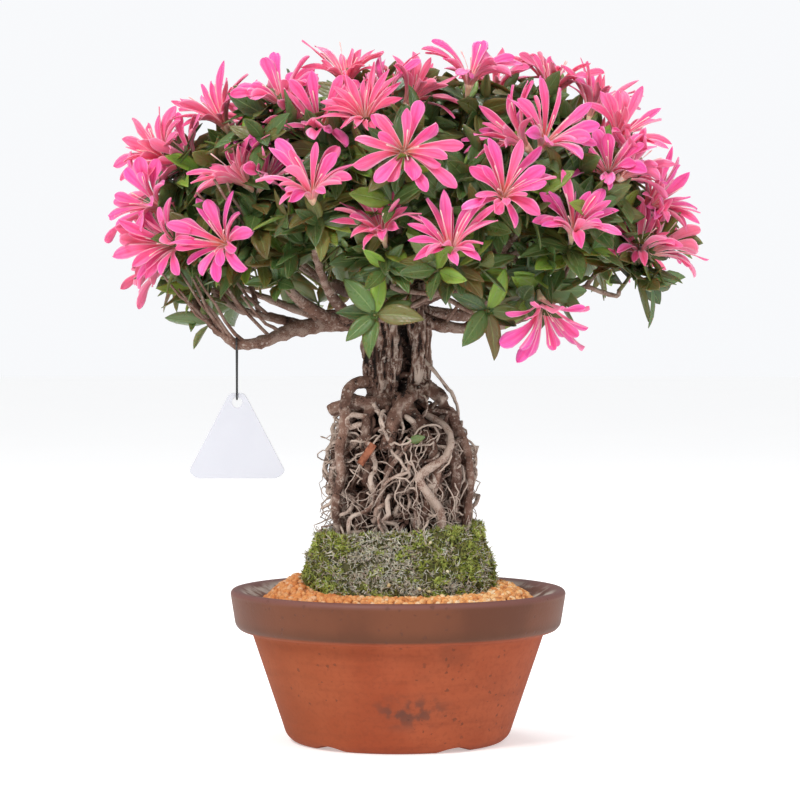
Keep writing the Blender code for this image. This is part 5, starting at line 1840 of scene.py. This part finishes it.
def make_tag(finish):
    """A plain white triangular card with cut corners, a punched hole and softened edges."""
    bottom = TAG_TOP_Z - TAG_HEIGHT
    lean = TAG_CORNER * TAG_HEIGHT / TAG_HALF_WIDTH * 0.5
    corners = [(-TAG_CORNER, TAG_TOP_Z), (TAG_CORNER, TAG_TOP_Z), (TAG_HALF_WIDTH, bottom + lean),
               (TAG_HALF_WIDTH - TAG_CORNER, bottom), (TAG_CORNER - TAG_HALF_WIDTH, bottom),
               (-TAG_HALF_WIDTH, bottom + lean)]
    hole_z = TAG_TOP_Z - TAG_HOLE_DROP
    hole = [(TAG_HOLE_R * math.cos(a), hole_z - TAG_HOLE_R * math.sin(a))
            for a in (math.tau * i / 32 for i in range(32))]
    outline = eased([corners[-1], *corners, corners[0]], 2.0, 4)[1:-1]
    curve = bpy.data.curves.new("card", "CURVE")
    curve.dimensions = "2D"
    curve.fill_mode = "BOTH"
    curve.extrude = (TAG_THICK / 2 - TAG_EDGE) * MM
    curve.bevel_depth = TAG_EDGE * MM
    curve.bevel_resolution = 1
    curve.offset = -TAG_EDGE * MM
    for loop in (outline, hole):
        spline = curve.splines.new("POLY")
        spline.points.add(len(loop) - 1)
        spline.use_cyclic_u = True
        for knot, (x, z) in zip(spline.points, loop):
            knot.co = ((TAG_X + x) * MM, z * MM, 0, 1)
    made = plain_mesh(linked(bpy.data.objects.new("card_curve", curve)), "plain_tag")
    made.data.transform(Matrix.Translation((0, TAG_Y * MM, 0)) @ Matrix.Rotation(math.pi / 2, 4, "X"))
    kept(made, finish, "tag", "tag")


def make_wire(finish):
    """The thin black wire: over the branch, two legs side by side, and through the card's hole."""
    low = TAG_TOP_Z - TAG_HOLE_DROP + 1.6
    points = []
    for step in range(13):
        turn = math.pi * step / 12
        points.append((0, WIRE_LOOP_R * math.cos(turn), WIRE_LOOP_Z + WIRE_LOOP_R * math.sin(turn)))
    points += [(0, y, low + up) for y, up in ((-1.9, 12), (-1.45, 1.9), (-1.25, 0.5), (0, 0), (1.25, 0.5),
                                              (1.45, 1.9), (1.9, 12))]
    line = smooth([Vector((TAG_X + x, TAG_Y + y, z)) for x, y, z in (*points, points[0])], 4)
    mass = Mass()
    taper(mass, line, WIRE_R, WIRE_R, 8, EVEN_TINT)
    piece("tag_loop", mass, finish, "wire", "tag_wire")


def make_floor():
    """A pale disc under the pot, which glows a little so that it meets the surround."""
    mesh = reworked(bpy.data.meshes.new("floor"), lambda shape: bmesh.ops.create_circle(
        shape, cap_ends=True, segments=96, radius=9.0))
    floor = linked(bpy.data.objects.new("floor", mesh))
    made, tree, spot = finish_of("floor_paper", Roughness=0.9, Specular_IOR_Level=0.2,
                                 Emission_Strength=FLOOR_GLOW, Emission_Color=(1, 1, 1, 1))
    colour = mixed(tree, cloud(tree, spot, 3.0), (0.86, 0.86, 0.86), (0.90, 0.90, 0.895))
    mesh.materials.append(finished(made, colour))


def make_light(name, spot, aim, size, power, colour):
    """A round soft light that looks at a point."""
    lamp = bpy.data.lights.new(name, "AREA")
    lamp.shape = "DISK"
    lamp.size = size
    lamp.energy = power
    lamp.color = colour
    obj = linked(bpy.data.objects.new(name, lamp))
    obj.location = spot
    obj.rotation_euler = (Vector(aim) - Vector(spot)).to_track_quat("-Z", "Y").to_euler()


def make_studio():
    """A camera at the photograph's angle, soft lights and a near-white surround."""
    lens = bpy.data.cameras.new("camera")
    lens.lens = LENS
    lens.sensor_width = SENSOR
    camera = linked(bpy.data.objects.new("camera", lens))
    camera.location = CAMERA_SPOT
    camera.rotation_euler = (math.radians(90 - CAMERA_DOWN_DEG), 0, 0)
    bpy.context.scene.camera = camera
    world = bpy.data.worlds.new("surround")
    world.use_nodes = True
    tree = world.node_tree
    back = tree.nodes["Background"]
    back.inputs["Color"].default_value = (0.97, 0.98, 1.0, 1)
    seen = put(tree, "ShaderNodeLightPath").outputs["Is Camera Ray"]
    tree.links.new(between(tree, seen, 0.0, 1.0, SURROUND_LIGHT, SURROUND_SEEN), back.inputs["Strength"])
    bpy.context.scene.world = world
    make_light("key", (-0.9, -1.5, 1.6), (0, 0, 0.22), 0.6, 31, (1.0, 0.98, 0.95))
    make_light("fill", (1.4, -1.2, 0.9), (0, 0, 0.2), 1.0, 7, (0.95, 0.97, 1.0))
    make_light("top", (0.1, 0.5, 1.7), (0, 0, 0.25), 0.8, 14, (1.0, 1.0, 1.0))


def main():
    make_studio()
    make_floor()
    make_pot(terracotta_finish())
    make_grit(grit_finish("grit_bed_clay"), grit_finish("grit_grain_clay"))
    make_mound()
    bark = bark_finish()
    make_trunk(bark)
    make_fine_roots(bark)
    make_root_ball(bark)
    make_branches(bark)
    leaf = leaf_finish()
    for number in range(len(SHOOTS)):
        make_spray(number, leaf)
    make_inner_leaves(leaf)
    make_fallen_bits(leaf, flake_finish())
    petal = petal_finish()
    for number, (_, _, count) in enumerate(SHOOTS):
        if count:
            make_bloom(number, petal)
    make_tag(card_finish())
    make_wire(wire_finish())


main()
